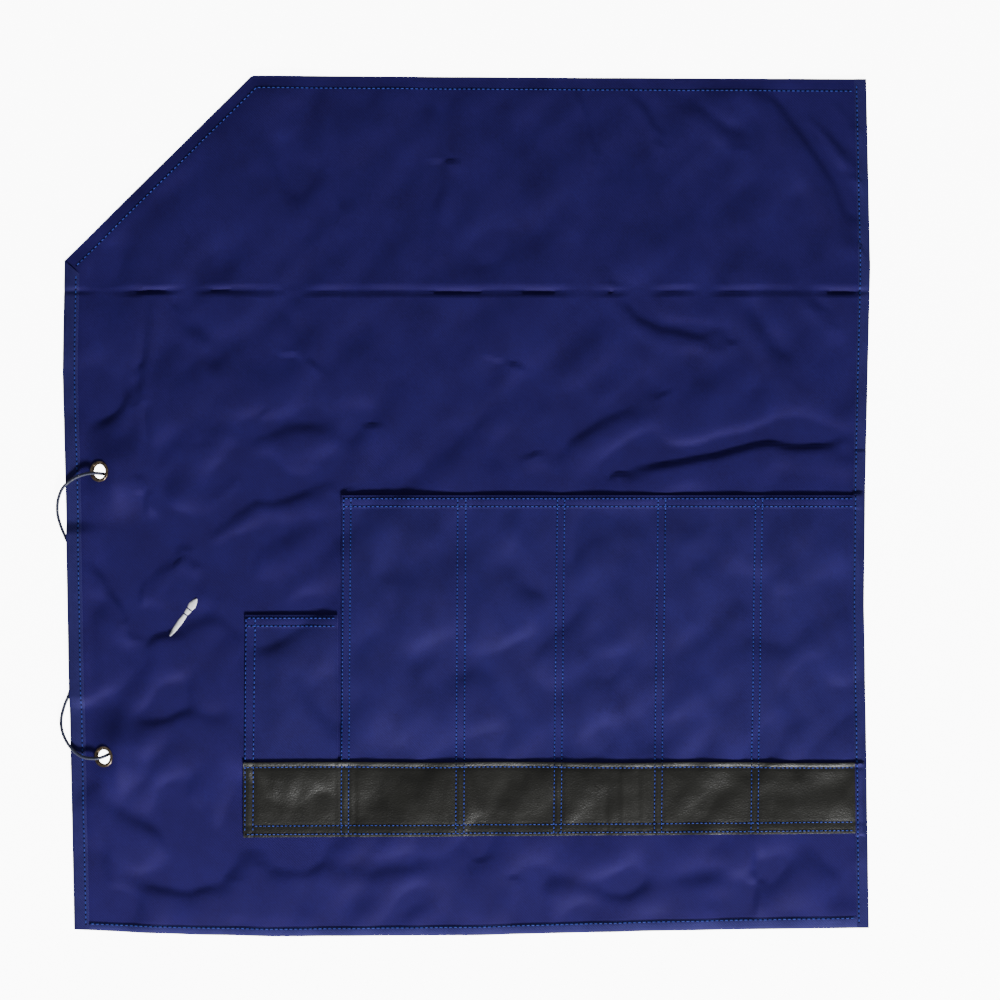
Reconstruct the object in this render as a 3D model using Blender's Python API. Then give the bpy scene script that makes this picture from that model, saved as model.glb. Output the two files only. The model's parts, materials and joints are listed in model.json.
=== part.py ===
"""Brush roll case: a twill panel with sewn pockets, a leather band and an elastic cord, lying open.

The case lies on its back with the pockets up. X runs across it, towards the hemmed right edge, and Y
runs up it, towards the top flap. The panel is divided into columns at the seams between the pockets,
so that it can roll up, and each column carries its own strip of the top flap.
"""

import math

import bmesh
import bpy
from mathutils import Matrix, Vector, geometry

MM = 0.001

# Cloth, leather and the gap kept between layers that touch.
TWILL = 0.9 * MM
POCKET_CLOTH = 0.6 * MM
HEM_CLOTH = 0.7 * MM
LEATHER = 1.2 * MM
GAP = 0.3 * MM

# Outline of the open case, each edge as (distance along it, position).
LEFT_EDGE = [(-262.4, -243.0), (-108, -246.1), (14, -248.3), (82, -250.2), (152, -248.9)]
RIGHT_EDGE = [(-262, 249.4), (-148, 247.7), (-62, 246.3), (13, 247.1), (149, 250.2), (265, 247.7)]
BOTTOM_EDGE = [(-243, -262.3), (-195, -264.7), (-120, -266.6), (0, -266), (130, -262.9), (250, -261.3)]
TOP_EDGE = [(-133, 266.7), (52, 265.4), (250, 264.5)]
SLANT_LOW = (-248.9, 151.9)
SLANT_HIGH = (-133.0, 266.7)

# Seams at which the case bends as it rolls, from left to right, and each bend when it is rolled up.
SEAMS = [-200.6, -139.5, -78.9, -3.4, 57.4, 119.7, 179.6]
BENDS_DEG = [45, 49, 54, 58, 62, 65, 68]
ROLL_AXIS_Z = 0.45
BEND_GAP = 0.4

# Top flap: the crease, the height of its axis and how far it folds.
CREASE_Y = 133.3
CREASE_AXIS_Z = 3.2
CREASE_GAP = 0.5
FLAP_FOLD_DEG = 178

# Hems turned to the front.
LEFT_HEM = 9.3
RIGHT_HEM = 7.5
BOTTOM_HEM = 6.0

# Pockets: mouths, ends, and how high a pocket stands open for its brush.
TALL_TOP = 6.5
SHORT_TOP = -67.6
SHORT_LEFT = -137.0
SHORT_RIGHT = -79.9
POCKET_FOOT = -203.6
POCKET_OPEN = 4.15
OPEN_BELOW = -110.0
SHUT_AT = -190.0
SEAM_FLAT = 3.0
ARCH_RISE = 13.0
ARCH_LINES = (0, 0.22, 0.45, 0.7, 1)
OPENING_ROWS = (-142.0, -125.0)
POCKET_HEM = 8.4
POCKET_SIDE_GAP = 1.9

# Leather band over the pocket bottoms.
BAND_TOP = -159.3
BAND_MIDDLE = -176.0
BAND_BOTTOM = -204.6
BAND_LEFT = -138.0
BAND_SIDE_GAP = 2.6

# Eyelets in the left margin, tilted by the knots that lie behind the panel, to their right.
EYELETS = {"upper": (-226.6, 21.3), "lower": (-223.9, -155.1)}
EYELET_TILT_DEG = 22
EYELET_HOLE_R = 4.5
EYELET_BARREL_R = 4.85
EYELET_FLANGE_R = 6.5
EYELET_FLANGE = 0.6
WASHER = 0.5
KNOTS = {"upper": (-215.2, 18.8, 2.5), "lower": (-217.3, -157.7, 2.3)}
KNOT_HALF = (4.2, 3.8, 2.1)

# The left margin's grid lines: two under the hem, then at these distances from the eyelets' line, and
# how high the panel stands at each line over the knots and over the cord behind it.
MARGIN_LINES = (-7.2, 7.2, 11.0, 15.5)
KNOT_LIFT = (0, 0.2, 0.4, 0.7, 6.5, 6.5, 4.0, 0)
CORD_LIFT = (2.5, 2.5, 2.5, 1.2, 0, 0, 0, 0)
KNOT_LIFT_HALF = 8.5
KNOT_LIFT_FALL = 16.0
CORD_LIFT_Y = (-126, -9)
CORD_LIFT_FALL = 9.0

# Elastic cord: from the upper knot, over the left edge, behind the panel, and back to the lower knot.
CORD_D = 2.0
CORD_STEP = 4.6
CORD_ROUTE = [
    (-220.5, 19.4, 2.6), (-222.2, 19.6, 2.75), (-223.9, 19.8, 3.1), (-225.6, 20.0, 3.75),
    (-227.4, 20.15, 4.45), (-229.6, 20.3, 4.85), (-232.4, 20.2, 4.8), (-236.4, 19.5, 4.4),
    (-241.2, 17.8, 3.9), (-246.0, 14.9, 3.45), (-250.3, 10.4, 2.9), (-253.0, 3.2, 1.8),
    (-253.3, -4.7, 1.1), (-251.6, -11.6, 1.08), (-249.0, -18.0, 1.08), (-245.6, -26.0, 1.08),
    (-242.8, -36.0, 1.08), (-241.0, -50.0, 1.08), (-240.4, -67.0, 1.08), (-240.9, -84.0, 1.08),
    (-242.6, -100.0, 1.08), (-245.6, -114.6, 1.08), (-249.2, -124.0, 1.1), (-251.0, -132.6, 1.8),
    (-249.9, -140.2, 2.9), (-246.2, -147.6, 3.5), (-241.2, -152.9, 3.9), (-236.0, -155.6, 4.4),
    (-230.4, -156.2, 4.85), (-227.2, -155.9, 4.9), (-224.8, -155.2, 4.4), (-222.9, -154.4, 3.7),
    (-221.2, -153.5, 3.0),
]


def clear_scene():
    for old in list(bpy.data.objects):
        bpy.data.objects.remove(old, do_unlink=True)


def material(name, colour, roughness, metallic=0.0):
    """A plain Principled BSDF finish."""
    made = bpy.data.materials.new(name)
    made.use_nodes = True
    shader = made.node_tree.nodes["Principled BSDF"]
    shader.inputs["Base Color"].default_value = (*colour, 1.0)
    shader.inputs["Roughness"].default_value = roughness
    shader.inputs["Metallic"].default_value = metallic
    return made


def along(points, at):
    """The position on an edge, straight between its few corners."""
    for (a, low), (b, high) in zip(points, points[1:]):
        if at <= b:
            break
    return low + (high - low) * (at - a) / (b - a)


def smooth_step(value):
    held = min(max(value, 0.0), 1.0)
    return held * held * (3 - 2 * held)


def slant(x):
    (x0, y0), (x1, y1) = SLANT_LOW, SLANT_HIGH
    return y0 + (y1 - y0) * (x - x0) / (x1 - x0)


def top_of_flap(x):
    return slant(x) if x < SLANT_HIGH[0] else along(TOP_EDGE, x)


def bend_gap(seam, height):
    """Half the gap at a seam that keeps this height clear of its neighbour when the case is rolled."""
    reach = max(height - ROLL_AXIS_Z, 0.0)
    return BEND_GAP + reach * math.tan(math.radians(BENDS_DEG[seam]) / 2)


def margin_height(line, y):
    """How far a grid line of the left margin stands off the surface at this height up the case."""
    height = 0.0
    for _, centre in EYELETS.values():
        share = 1 - smooth_step((abs(y - centre) - KNOT_LIFT_HALF) / KNOT_LIFT_FALL)
        height = max(height, KNOT_LIFT[line] * share)
    low, high = CORD_LIFT_Y
    share = smooth_step((y - low) / CORD_LIFT_FALL) * smooth_step((high - y) / CORD_LIFT_FALL)
    return max(height, CORD_LIFT[line] * share)


def eyelet_line(y):
    """Where the line through both eyelets lies at this height up the case."""
    (x_high, high), (x_low, low) = EYELETS.values()
    return x_low + (x_high - x_low) * (y - low) / (high - low)


def pocket_height(x, y, left, right):
    """How far the cloth of a pocket stands open: an arch that closes towards its bottom seam."""
    inward = min(x - left, right - x) - SEAM_FLAT
    open_share = smooth_step((y - SHUT_AT) / (OPEN_BELOW - SHUT_AT))
    return POCKET_OPEN * smooth_step(inward / ARCH_RISE) * open_share


def empty(name, place, parent=None):
    """A joint's frame, at a point given in millimetres."""
    made = bpy.data.objects.new(name, None)
    bpy.context.scene.collection.objects.link(made)
    above = Vector(parent["place"]) if parent else Vector()
    made["place"] = place
    made.location = (Vector(place) - above) * MM
    made.parent = parent
    return made


def add_solid(name, bm, frame, finish, smooth=False):
    """Makes the object from a mesh laid out in millimetres, with its origin on its joint's frame."""
    bmesh.ops.recalc_face_normals(bm, faces=bm.faces[:])
    bmesh.ops.translate(bm, verts=bm.verts[:], vec=-Vector(frame["place"]))
    bmesh.ops.scale(bm, verts=bm.verts[:], vec=(MM, MM, MM))
    mesh = bpy.data.meshes.new(name)
    bm.to_mesh(mesh)
    bm.free()
    if smooth:
        mesh.shade_smooth()
        mesh.set_sharp_from_angle(angle=math.radians(35))
    mesh.materials.append(finish)
    made = bpy.data.objects.new(name, mesh)
    bpy.context.scene.collection.objects.link(made)
    made.parent = frame
    return made


def sheet(name, across, up, place, thickness, frame, finish):
    """A closed sheet of cloth: a grid laid at place(across, up), given its thickness upwards."""
    bm = bmesh.new()
    columns = len(across) - 1
    rows = len(up) - 1
    bmesh.ops.create_grid(bm, x_segments=columns, y_segments=rows, size=0.5)
    for vert in bm.verts:
        column = round((vert.co.x + 0.5) * columns)
        row = round((vert.co.y + 0.5) * rows)
        vert.co = place(across[column], up[row])
    made = bmesh.ops.extrude_face_region(bm, geom=bm.faces[:], use_keep_orig=True)
    raised = [item for item in made["geom"] if isinstance(item, bmesh.types.BMVert)]
    bmesh.ops.translate(bm, verts=raised, vec=(0, 0, thickness / MM))
    return add_solid(name, bm, frame, finish)


def tilt_to_eyelet(bm, centre):
    """Turns and moves a mesh made about the upright axis to an eyelet, in the panel's mid-plane."""
    turn = Matrix.Rotation(-math.radians(EYELET_TILT_DEG), 3, "Y")
    bmesh.ops.rotate(bm, verts=bm.verts[:], cent=(0, 0, 0), matrix=turn)
    height = (KNOT_LIFT[3] + KNOT_LIFT[4] + TWILL / MM) / 2
    bmesh.ops.translate(bm, verts=bm.verts[:], vec=(*centre, height))


def drill(target, centre, radius):
    """Cuts an eyelet's round hole through the panel, square to its slope."""
    bm = bmesh.new()
    bmesh.ops.create_cone(bm, cap_ends=True, segments=24, radius1=radius, radius2=radius, depth=8)
    tilt_to_eyelet(bm, centre)
    bmesh.ops.scale(bm, verts=bm.verts[:], vec=(MM, MM, MM))
    mesh = bpy.data.meshes.new(target.name + "_hole")
    bm.to_mesh(mesh)
    bm.free()
    cutter = bpy.data.objects.new(mesh.name, mesh)
    bpy.context.scene.collection.objects.link(cutter)
    cutter.hide_render = True
    cutter.display_type = "WIRE"
    cut = target.modifiers.new("hole", "BOOLEAN")
    cut.operation = "DIFFERENCE"
    cut.solver = "EXACT"
    cut.object = cutter


def turned(name, profile, centre, frame, finish):
    """A ring at an eyelet, turned from a closed profile of (radius, height) points."""
    bm = bmesh.new()
    verts = [bm.verts.new((radius, 0, height)) for radius, height in profile]
    edges = [bm.edges.new((verts[i - 1], verts[i])) for i in range(len(verts))]
    bmesh.ops.spin(
        bm, geom=verts + edges, cent=(0, 0, 0), axis=(0, 0, 1), angle=2 * math.pi, steps=24, use_merge=True
    )
    bmesh.ops.remove_doubles(bm, verts=bm.verts[:], dist=0.001)
    tilt_to_eyelet(bm, centre)
    return add_solid(name, bm, frame, finish, smooth=True)


def column_frames():
    """One frame for each column, chained from the left margin, and one for each strip of the flap."""
    columns = [empty("margin_frame", (0, 0, 0))]
    for index, seam in enumerate(SEAMS):
        columns.append(empty(f"roll_axis_{index + 1}", (seam, 0, ROLL_AXIS_Z), columns[-1]))
    flaps = []
    for index, column in enumerate(columns):
        flaps.append(empty(f"crease_axis_{index + 1}", (0, CREASE_Y, CREASE_AXIS_Z), column))
    return columns, flaps


def column_left(index, y, height):
    """Where a column's left side lies at this distance up the case and height above the surface."""
    return along(LEFT_EDGE, y) if index == 0 else SEAMS[index - 1] + bend_gap(index - 1, height)


def column_right(index, y, height):
    """Where a column's right side lies at this distance up the case and height above the surface."""
    last = index == len(SEAMS)
    return along(RIGHT_EDGE, y) if last else SEAMS[index] - bend_gap(index, height)


def margin_rows():
    """Grid rows for the left margin, closer together round the eyelets and over the cord's ends."""
    up = [LEFT_EDGE[0][0], CREASE_Y - CREASE_GAP, 82]
    for _, centre in EYELETS.values():
        for share in (0, 0.33, 0.66, 1):
            step = KNOT_LIFT_HALF + KNOT_LIFT_FALL * share
            up += [centre - step, centre + step]
    low, high = CORD_LIFT_Y
    for share in (0, 0.5, 1, 3):
        up += [low + CORD_LIFT_FALL * share, high - CORD_LIFT_FALL * share]
    return sorted(up)


def make_margin(frame, twill, hem_cloth):
    """The left column, raised over the knots and the cord, and the hem along its outer edge."""
    up = margin_rows()
    lines = range(len(KNOT_LIFT))

    def across(line, y):
        if line <= 2:
            return column_left(0, y, TWILL / MM) + LEFT_HEM * line / 2
        if line == lines[-1]:
            return column_right(0, y, TWILL / MM)
        return eyelet_line(y) + MARGIN_LINES[line - 3]

    def panel_at(line, y):
        x = across(line, y)
        if y == up[0]:
            y = along(BOTTOM_EDGE, x)
        return x, y, margin_height(line, y)

    def hem_at(line, y):
        x, y, height = panel_at(line, y)
        return x, y, height + (TWILL + GAP) / MM

    panel = sheet("panel_margin", lines, up, panel_at, TWILL, frame, twill)
    for centre in EYELETS.values():
        drill(panel, centre, EYELET_BARREL_R + GAP / MM)
    sheet("hem_left", lines[:3], up, hem_at, HEM_CLOTH, frame, hem_cloth)


def make_panel(index, frame, twill):
    """One flat column of the main panel."""
    top = CREASE_Y - CREASE_GAP
    height = TWILL / MM
    outer = index == len(SEAMS)
    up = [0] + [y for y, _ in RIGHT_EDGE[1:4]] + [top] if outer else [0, top]

    def at(u, y):
        if y == 0:
            start = column_left(index, y, height)
            y = along(BOTTOM_EDGE, start + (column_right(index, y, height) - start) * u)
        start = column_left(index, y, height)
        return start + (column_right(index, y, height) - start) * u, y, 0

    sheet(f"panel_{index}", [0, 0.5, 1], up, at, TWILL, frame, twill)


def folded_height(y):
    """The highest that the flap stands over the panel at this distance up it, once folded down."""
    return 2 * CREASE_AXIS_Z + (y - CREASE_Y) * math.sin(math.radians(180 - FLAP_FOLD_DEG))


def make_flap(index, frame, twill):
    """One strip of the top flap, tapered so that the strips clear each other when folded and rolled."""
    outer = index == len(SEAMS)

    def side(seam, y):
        return bend_gap(seam, folded_height(y))

    def at(u, v):
        low = CREASE_Y + CREASE_GAP
        start = along(LEFT_EDGE, low) if index == 0 else SEAMS[index - 1] + side(index - 1, low)
        end = along(RIGHT_EDGE, low) if outer else SEAMS[index] - side(index, low)
        y = low + (top_of_flap(start + (end - start) * u) - low) * v
        if index == 0:
            start = along(LEFT_EDGE, y)
        else:
            start = SEAMS[index - 1] + side(index - 1, y)
        end = along(RIGHT_EDGE, y) if outer else SEAMS[index] - side(index, y)
        x = start + (end - start) * u
        return x, min(y, top_of_flap(x)), 0

    across = [0, 0.12, 1] if index == 2 else [0, 0.5, 1]
    sheet(f"flap_{index}" if index else "flap_margin", across, [0, 0.5, 1], at, TWILL, frame, twill)


def make_side_hems(columns, flaps, hem_cloth):
    """The right hem, on the panel and on the flap, and the left hem's top end."""
    lift = (TWILL + GAP) / MM
    below = CREASE_Y - CREASE_GAP
    above = CREASE_Y + CREASE_GAP

    def right_at(u, y):
        edge = along(RIGHT_EDGE, y)
        return edge - RIGHT_HEM * (1 - u), y, lift

    corners = [y for y, _ in RIGHT_EDGE]
    up = [BOTTOM_EDGE[-1][1]] + corners[1:4] + [below]
    sheet("hem_right", [0, 1], up, right_at, HEM_CLOTH, columns[-1], hem_cloth)
    up = [above, corners[4], TOP_EDGE[-1][1] - 0.1]
    sheet("hem_right_flap", [0, 1], up, right_at, HEM_CLOTH, flaps[-1], hem_cloth)

    def left_at(u, v):
        x = along(LEFT_EDGE, above) + LEFT_HEM * u
        return x, above + (min(slant(x), SLANT_LOW[1] + LEFT_HEM) - above) * v, lift

    sheet("hem_left_flap", [0, 1], [0, 1], left_at, HEM_CLOTH, flaps[0], hem_cloth)


def make_bottom_hem(index, frame, hem_cloth):
    """The part of the bottom hem on one column, between the side hems."""
    lift = (TWILL + GAP) / MM
    corner = LEFT_EDGE[0][0]
    left = column_left(index, corner, lift + HEM_CLOTH / MM)
    right = column_right(index, corner, lift + HEM_CLOTH / MM)
    if index == 0:
        left += LEFT_HEM + GAP / MM
    if index == len(SEAMS):
        right -= RIGHT_HEM + GAP / MM

    def at(x, rise):
        return x, along(BOTTOM_EDGE, x) + rise, lift

    across = [left, (left + right) / 2, right]
    sheet(f"hem_bottom_{index}", across, [0, BOTTOM_HEM], at, HEM_CLOTH, frame, hem_cloth)


def arch_lines(left, right):
    """Lines across a pocket, closer together where its cloth rises from the seams."""
    rise = [SEAM_FLAT + ARCH_RISE * share for share in ARCH_LINES]
    return [left] + [left + step for step in rise] + [right - step for step in reversed(rise)] + [right]


def make_pocket(name, left, right, top, frame, finishes):
    """A pocket, the hem along its mouth and the part of the leather band over its bottom."""
    pocket_cloth, hem_cloth, leather = finishes
    across = arch_lines(left, right)
    seat = (TWILL + GAP) / MM
    up = [POCKET_FOOT, SHUT_AT, BAND_MIDDLE, BAND_TOP, *OPENING_ROWS, OPEN_BELOW, top - POCKET_HEM, top]

    def cloth_at(x, y):
        return x, y, seat + pocket_height(x, y, left, right)

    def over_cloth_at(x, y):
        inside = min(max(x, left), right)
        return x, y, cloth_at(inside, y)[2] + (POCKET_CLOTH + GAP) / MM

    sheet(name, across, up, cloth_at, POCKET_CLOTH, frame, pocket_cloth)
    mouth = [top - POCKET_HEM, top]
    sheet(f"{name}_hem", across, mouth, over_cloth_at, POCKET_CLOTH, frame, hem_cloth)
    start = BAND_LEFT if top == SHORT_TOP else left + BAND_SIDE_GAP - POCKET_SIDE_GAP
    band = [start] + across[1:-1] + [right - BAND_SIDE_GAP + POCKET_SIDE_GAP]
    rows = [BAND_BOTTOM, SHUT_AT, BAND_MIDDLE, BAND_TOP]
    sheet(name.replace("pocket", "leather"), band, rows, over_cloth_at, LEATHER, frame, leather)


def make_pockets(columns, finishes):
    """The short pocket, and the five tall ones between their seams."""
    make_pocket("pocket_short", SHORT_LEFT, SHORT_RIGHT, SHORT_TOP, columns[2], finishes)
    for index in range(3, 8):
        left = SEAMS[index - 1] + POCKET_SIDE_GAP
        if index < len(SEAMS):
            right = SEAMS[index] - POCKET_SIDE_GAP
        else:
            right = min(edge for _, edge in RIGHT_EDGE) - RIGHT_HEM - GAP / MM
        make_pocket(f"pocket_{index - 2}", left, right, TALL_TOP, columns[index], finishes)


def make_eyelets(frame, brass, cord_finish):
    """Each eyelet with its washer behind the panel, and the knot that the eyelet holds back."""
    gap = GAP / MM
    half = TWILL / MM / 2 * math.cos(math.radians(EYELET_TILT_DEG))
    seat = half + gap
    for name, centre in EYELETS.items():
        body = [
            (EYELET_HOLE_R, -seat - WASHER), (EYELET_BARREL_R, -seat - WASHER), (EYELET_BARREL_R, seat),
            (EYELET_FLANGE_R, seat), (EYELET_FLANGE_R - 0.2, seat + 0.7 * EYELET_FLANGE),
            (EYELET_FLANGE_R - 0.7, seat + EYELET_FLANGE), (EYELET_HOLE_R + 0.3, seat + EYELET_FLANGE),
            (EYELET_HOLE_R, seat + 0.5 * EYELET_FLANGE),
        ]
        turned(f"eyelet_{name}", body, centre, frame, brass)
        inner = EYELET_BARREL_R + gap
        ring = [
            (inner, -seat - WASHER), (EYELET_FLANGE_R, -seat - WASHER),
            (EYELET_FLANGE_R, -seat), (inner, -seat),
        ]
        turned(f"washer_{name}", ring, centre, frame, brass)
        bm = bmesh.new()
        bmesh.ops.create_uvsphere(bm, u_segments=14, v_segments=9, radius=1)
        bmesh.ops.scale(bm, verts=bm.verts[:], vec=KNOT_HALF)
        bmesh.ops.translate(bm, verts=bm.verts[:], vec=KNOTS[name])
        add_solid(f"knot_{name}", bm, frame, cord_finish, smooth=True)


def smooth_route(points, step):
    """Points at even steps along a smooth curve through the route's own points."""
    ends = [points[0] * 2 - points[1]] + points + [points[-1] * 2 - points[-2]]
    dense = [points[0]]
    for a, b, c, d in zip(ends, ends[1:], ends[2:], ends[3:]):
        dense += geometry.interpolate_bezier(b, b + (c - a) / 6, c - (d - b) / 6, c, 24)[1:]
    total = sum((b - a).length for a, b in zip(dense, dense[1:]))
    spacing = total / round(total / step)
    made, run = [dense[0]], 0.0
    for a, b in zip(dense, dense[1:]):
        run += (b - a).length
        if run >= spacing * len(made) - 1e-6:
            made.append(b)
    made[-1] = dense[-1]
    return made


def make_cord(frame, cord_finish):
    """The elastic cord's tube."""
    points = smooth_route([Vector(point) for point in CORD_ROUTE], CORD_STEP)
    curve = bpy.data.curves.new("cord", "CURVE")
    curve.dimensions = "3D"
    curve.bevel_depth = CORD_D / 2 * MM
    curve.bevel_resolution = 2
    curve.use_fill_caps = True
    line = curve.splines.new("POLY")
    line.points.add(len(points) - 1)
    for knot, point in zip(line.points, points):
        knot.co = (*(point * MM), 1)
    curve.materials.append(cord_finish)
    made = bpy.data.objects.new("cord", curve)
    bpy.context.scene.collection.objects.link(made)
    made.parent = frame


clear_scene()
twill_finish = material("blue_twill", (0.017, 0.021, 0.105), 0.9)
pocket_finish = material("pocket_twill", (0.021, 0.029, 0.147), 0.9)
hem_finish = material("hem_twill", (0.020, 0.030, 0.120), 0.9)
leather_finish = material("black_leather", (0.022, 0.021, 0.019), 0.45)
brass_finish = material("antique_brass", (0.30, 0.22, 0.10), 0.35, 1.0)
cord_finish = material("navy_elastic", (0.012, 0.015, 0.05), 0.6)

column_list, flap_list = column_frames()
make_margin(column_list[0], twill_finish, hem_finish)
for number in range(1, len(column_list)):
    make_panel(number, column_list[number], twill_finish)
for number, flap_frame in enumerate(flap_list):
    make_flap(number, flap_frame, twill_finish)
make_side_hems(column_list, flap_list, hem_finish)
for number, column_frame in enumerate(column_list):
    make_bottom_hem(number, column_frame, hem_finish)
make_pockets(column_list, (pocket_finish, hem_finish, leather_finish))
make_eyelets(column_list[0], brass_finish, cord_finish)
make_cord(column_list[0], cord_finish)
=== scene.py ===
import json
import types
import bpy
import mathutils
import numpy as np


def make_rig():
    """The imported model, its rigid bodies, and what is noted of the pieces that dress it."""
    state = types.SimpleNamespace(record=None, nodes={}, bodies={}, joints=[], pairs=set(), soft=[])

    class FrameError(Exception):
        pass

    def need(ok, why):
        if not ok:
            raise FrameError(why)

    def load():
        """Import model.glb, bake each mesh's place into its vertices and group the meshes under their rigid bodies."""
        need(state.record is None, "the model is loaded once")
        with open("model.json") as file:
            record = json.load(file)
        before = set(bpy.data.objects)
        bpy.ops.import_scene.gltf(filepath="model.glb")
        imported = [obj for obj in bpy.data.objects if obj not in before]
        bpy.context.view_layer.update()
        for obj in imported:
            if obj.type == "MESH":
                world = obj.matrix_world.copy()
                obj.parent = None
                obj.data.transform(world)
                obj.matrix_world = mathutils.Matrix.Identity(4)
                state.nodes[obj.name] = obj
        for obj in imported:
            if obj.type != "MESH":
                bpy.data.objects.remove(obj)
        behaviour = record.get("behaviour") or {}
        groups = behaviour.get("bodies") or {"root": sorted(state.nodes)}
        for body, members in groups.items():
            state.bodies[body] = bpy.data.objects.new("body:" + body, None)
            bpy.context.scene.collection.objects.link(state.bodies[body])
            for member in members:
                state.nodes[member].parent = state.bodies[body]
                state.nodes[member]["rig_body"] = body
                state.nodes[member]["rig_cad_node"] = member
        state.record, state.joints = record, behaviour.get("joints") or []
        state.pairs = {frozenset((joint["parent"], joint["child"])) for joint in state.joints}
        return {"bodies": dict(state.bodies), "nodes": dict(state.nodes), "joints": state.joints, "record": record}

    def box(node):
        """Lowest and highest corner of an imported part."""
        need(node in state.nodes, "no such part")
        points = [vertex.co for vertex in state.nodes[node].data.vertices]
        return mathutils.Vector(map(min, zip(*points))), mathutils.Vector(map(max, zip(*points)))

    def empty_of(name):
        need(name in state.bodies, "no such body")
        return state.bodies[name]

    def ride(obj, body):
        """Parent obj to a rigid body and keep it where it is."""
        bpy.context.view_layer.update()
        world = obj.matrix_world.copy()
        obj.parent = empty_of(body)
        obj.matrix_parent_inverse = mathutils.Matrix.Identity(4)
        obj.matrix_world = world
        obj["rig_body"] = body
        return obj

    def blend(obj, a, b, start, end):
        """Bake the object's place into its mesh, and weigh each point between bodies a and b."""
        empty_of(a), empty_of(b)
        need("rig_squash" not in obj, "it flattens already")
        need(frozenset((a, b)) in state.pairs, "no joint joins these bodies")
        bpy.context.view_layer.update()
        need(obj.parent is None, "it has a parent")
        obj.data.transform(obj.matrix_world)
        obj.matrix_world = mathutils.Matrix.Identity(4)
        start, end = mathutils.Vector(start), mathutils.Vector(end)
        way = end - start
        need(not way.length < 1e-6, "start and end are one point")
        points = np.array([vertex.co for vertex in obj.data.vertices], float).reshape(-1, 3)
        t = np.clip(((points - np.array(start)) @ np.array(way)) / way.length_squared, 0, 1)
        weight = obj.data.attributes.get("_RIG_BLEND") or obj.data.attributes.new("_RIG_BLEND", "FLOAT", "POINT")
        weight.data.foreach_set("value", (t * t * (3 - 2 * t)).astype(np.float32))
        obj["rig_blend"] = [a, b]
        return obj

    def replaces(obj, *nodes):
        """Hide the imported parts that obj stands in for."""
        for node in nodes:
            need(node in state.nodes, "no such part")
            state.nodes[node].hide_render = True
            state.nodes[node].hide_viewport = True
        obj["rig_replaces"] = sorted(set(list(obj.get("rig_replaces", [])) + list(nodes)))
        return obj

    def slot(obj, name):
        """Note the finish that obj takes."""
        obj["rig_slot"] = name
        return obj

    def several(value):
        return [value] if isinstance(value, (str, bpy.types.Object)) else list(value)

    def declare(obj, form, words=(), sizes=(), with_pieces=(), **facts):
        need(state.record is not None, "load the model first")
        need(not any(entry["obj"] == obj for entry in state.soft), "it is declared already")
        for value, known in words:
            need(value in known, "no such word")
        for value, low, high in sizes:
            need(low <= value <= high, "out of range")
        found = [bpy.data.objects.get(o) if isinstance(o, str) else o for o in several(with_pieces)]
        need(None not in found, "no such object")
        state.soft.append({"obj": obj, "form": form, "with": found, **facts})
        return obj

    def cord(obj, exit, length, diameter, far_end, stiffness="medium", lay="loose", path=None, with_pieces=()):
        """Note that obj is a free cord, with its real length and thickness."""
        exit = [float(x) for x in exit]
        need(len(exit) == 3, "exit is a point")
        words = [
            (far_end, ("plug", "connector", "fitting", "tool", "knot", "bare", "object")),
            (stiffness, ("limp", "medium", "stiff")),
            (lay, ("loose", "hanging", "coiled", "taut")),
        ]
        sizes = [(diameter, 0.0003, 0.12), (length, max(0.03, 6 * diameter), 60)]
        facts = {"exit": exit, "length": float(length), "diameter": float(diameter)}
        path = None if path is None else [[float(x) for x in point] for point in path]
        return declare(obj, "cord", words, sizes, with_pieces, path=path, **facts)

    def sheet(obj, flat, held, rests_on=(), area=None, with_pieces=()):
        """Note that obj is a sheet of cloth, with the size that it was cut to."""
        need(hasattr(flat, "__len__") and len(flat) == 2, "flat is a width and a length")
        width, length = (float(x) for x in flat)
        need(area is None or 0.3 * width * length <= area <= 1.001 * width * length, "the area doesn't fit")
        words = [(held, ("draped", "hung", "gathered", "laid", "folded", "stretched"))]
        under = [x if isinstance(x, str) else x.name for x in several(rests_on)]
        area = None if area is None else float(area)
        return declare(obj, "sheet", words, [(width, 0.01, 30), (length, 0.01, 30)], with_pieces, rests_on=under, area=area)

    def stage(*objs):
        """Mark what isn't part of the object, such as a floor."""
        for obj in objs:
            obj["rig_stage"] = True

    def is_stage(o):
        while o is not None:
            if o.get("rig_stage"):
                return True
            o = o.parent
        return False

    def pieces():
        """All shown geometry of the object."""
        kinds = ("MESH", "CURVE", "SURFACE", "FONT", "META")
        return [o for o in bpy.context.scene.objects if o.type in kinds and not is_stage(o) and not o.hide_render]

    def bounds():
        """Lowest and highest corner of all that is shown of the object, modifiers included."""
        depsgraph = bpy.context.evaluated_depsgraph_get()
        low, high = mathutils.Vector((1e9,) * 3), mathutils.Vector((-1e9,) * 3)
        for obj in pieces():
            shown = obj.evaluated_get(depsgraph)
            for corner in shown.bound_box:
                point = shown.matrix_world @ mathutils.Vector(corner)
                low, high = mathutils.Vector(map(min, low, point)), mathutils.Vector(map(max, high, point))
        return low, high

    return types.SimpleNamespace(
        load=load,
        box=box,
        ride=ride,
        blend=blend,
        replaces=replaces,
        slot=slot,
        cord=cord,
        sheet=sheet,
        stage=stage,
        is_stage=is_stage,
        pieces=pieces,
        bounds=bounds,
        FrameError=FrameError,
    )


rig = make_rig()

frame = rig.load()

import json
import math

import bmesh
import bpy
from mathutils import Matrix, Vector, geometry, noise

cad_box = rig.bounds()
MM = 0.001

# Camera, straight above the open case and centred on its outline, with the top flap towards the top
# of the view. A long lens keeps the edges of the case square.
VIEW_CENTRE = (20.8, 3.7)
VIEW_HEIGHT = 1722
LENS = 100

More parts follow.
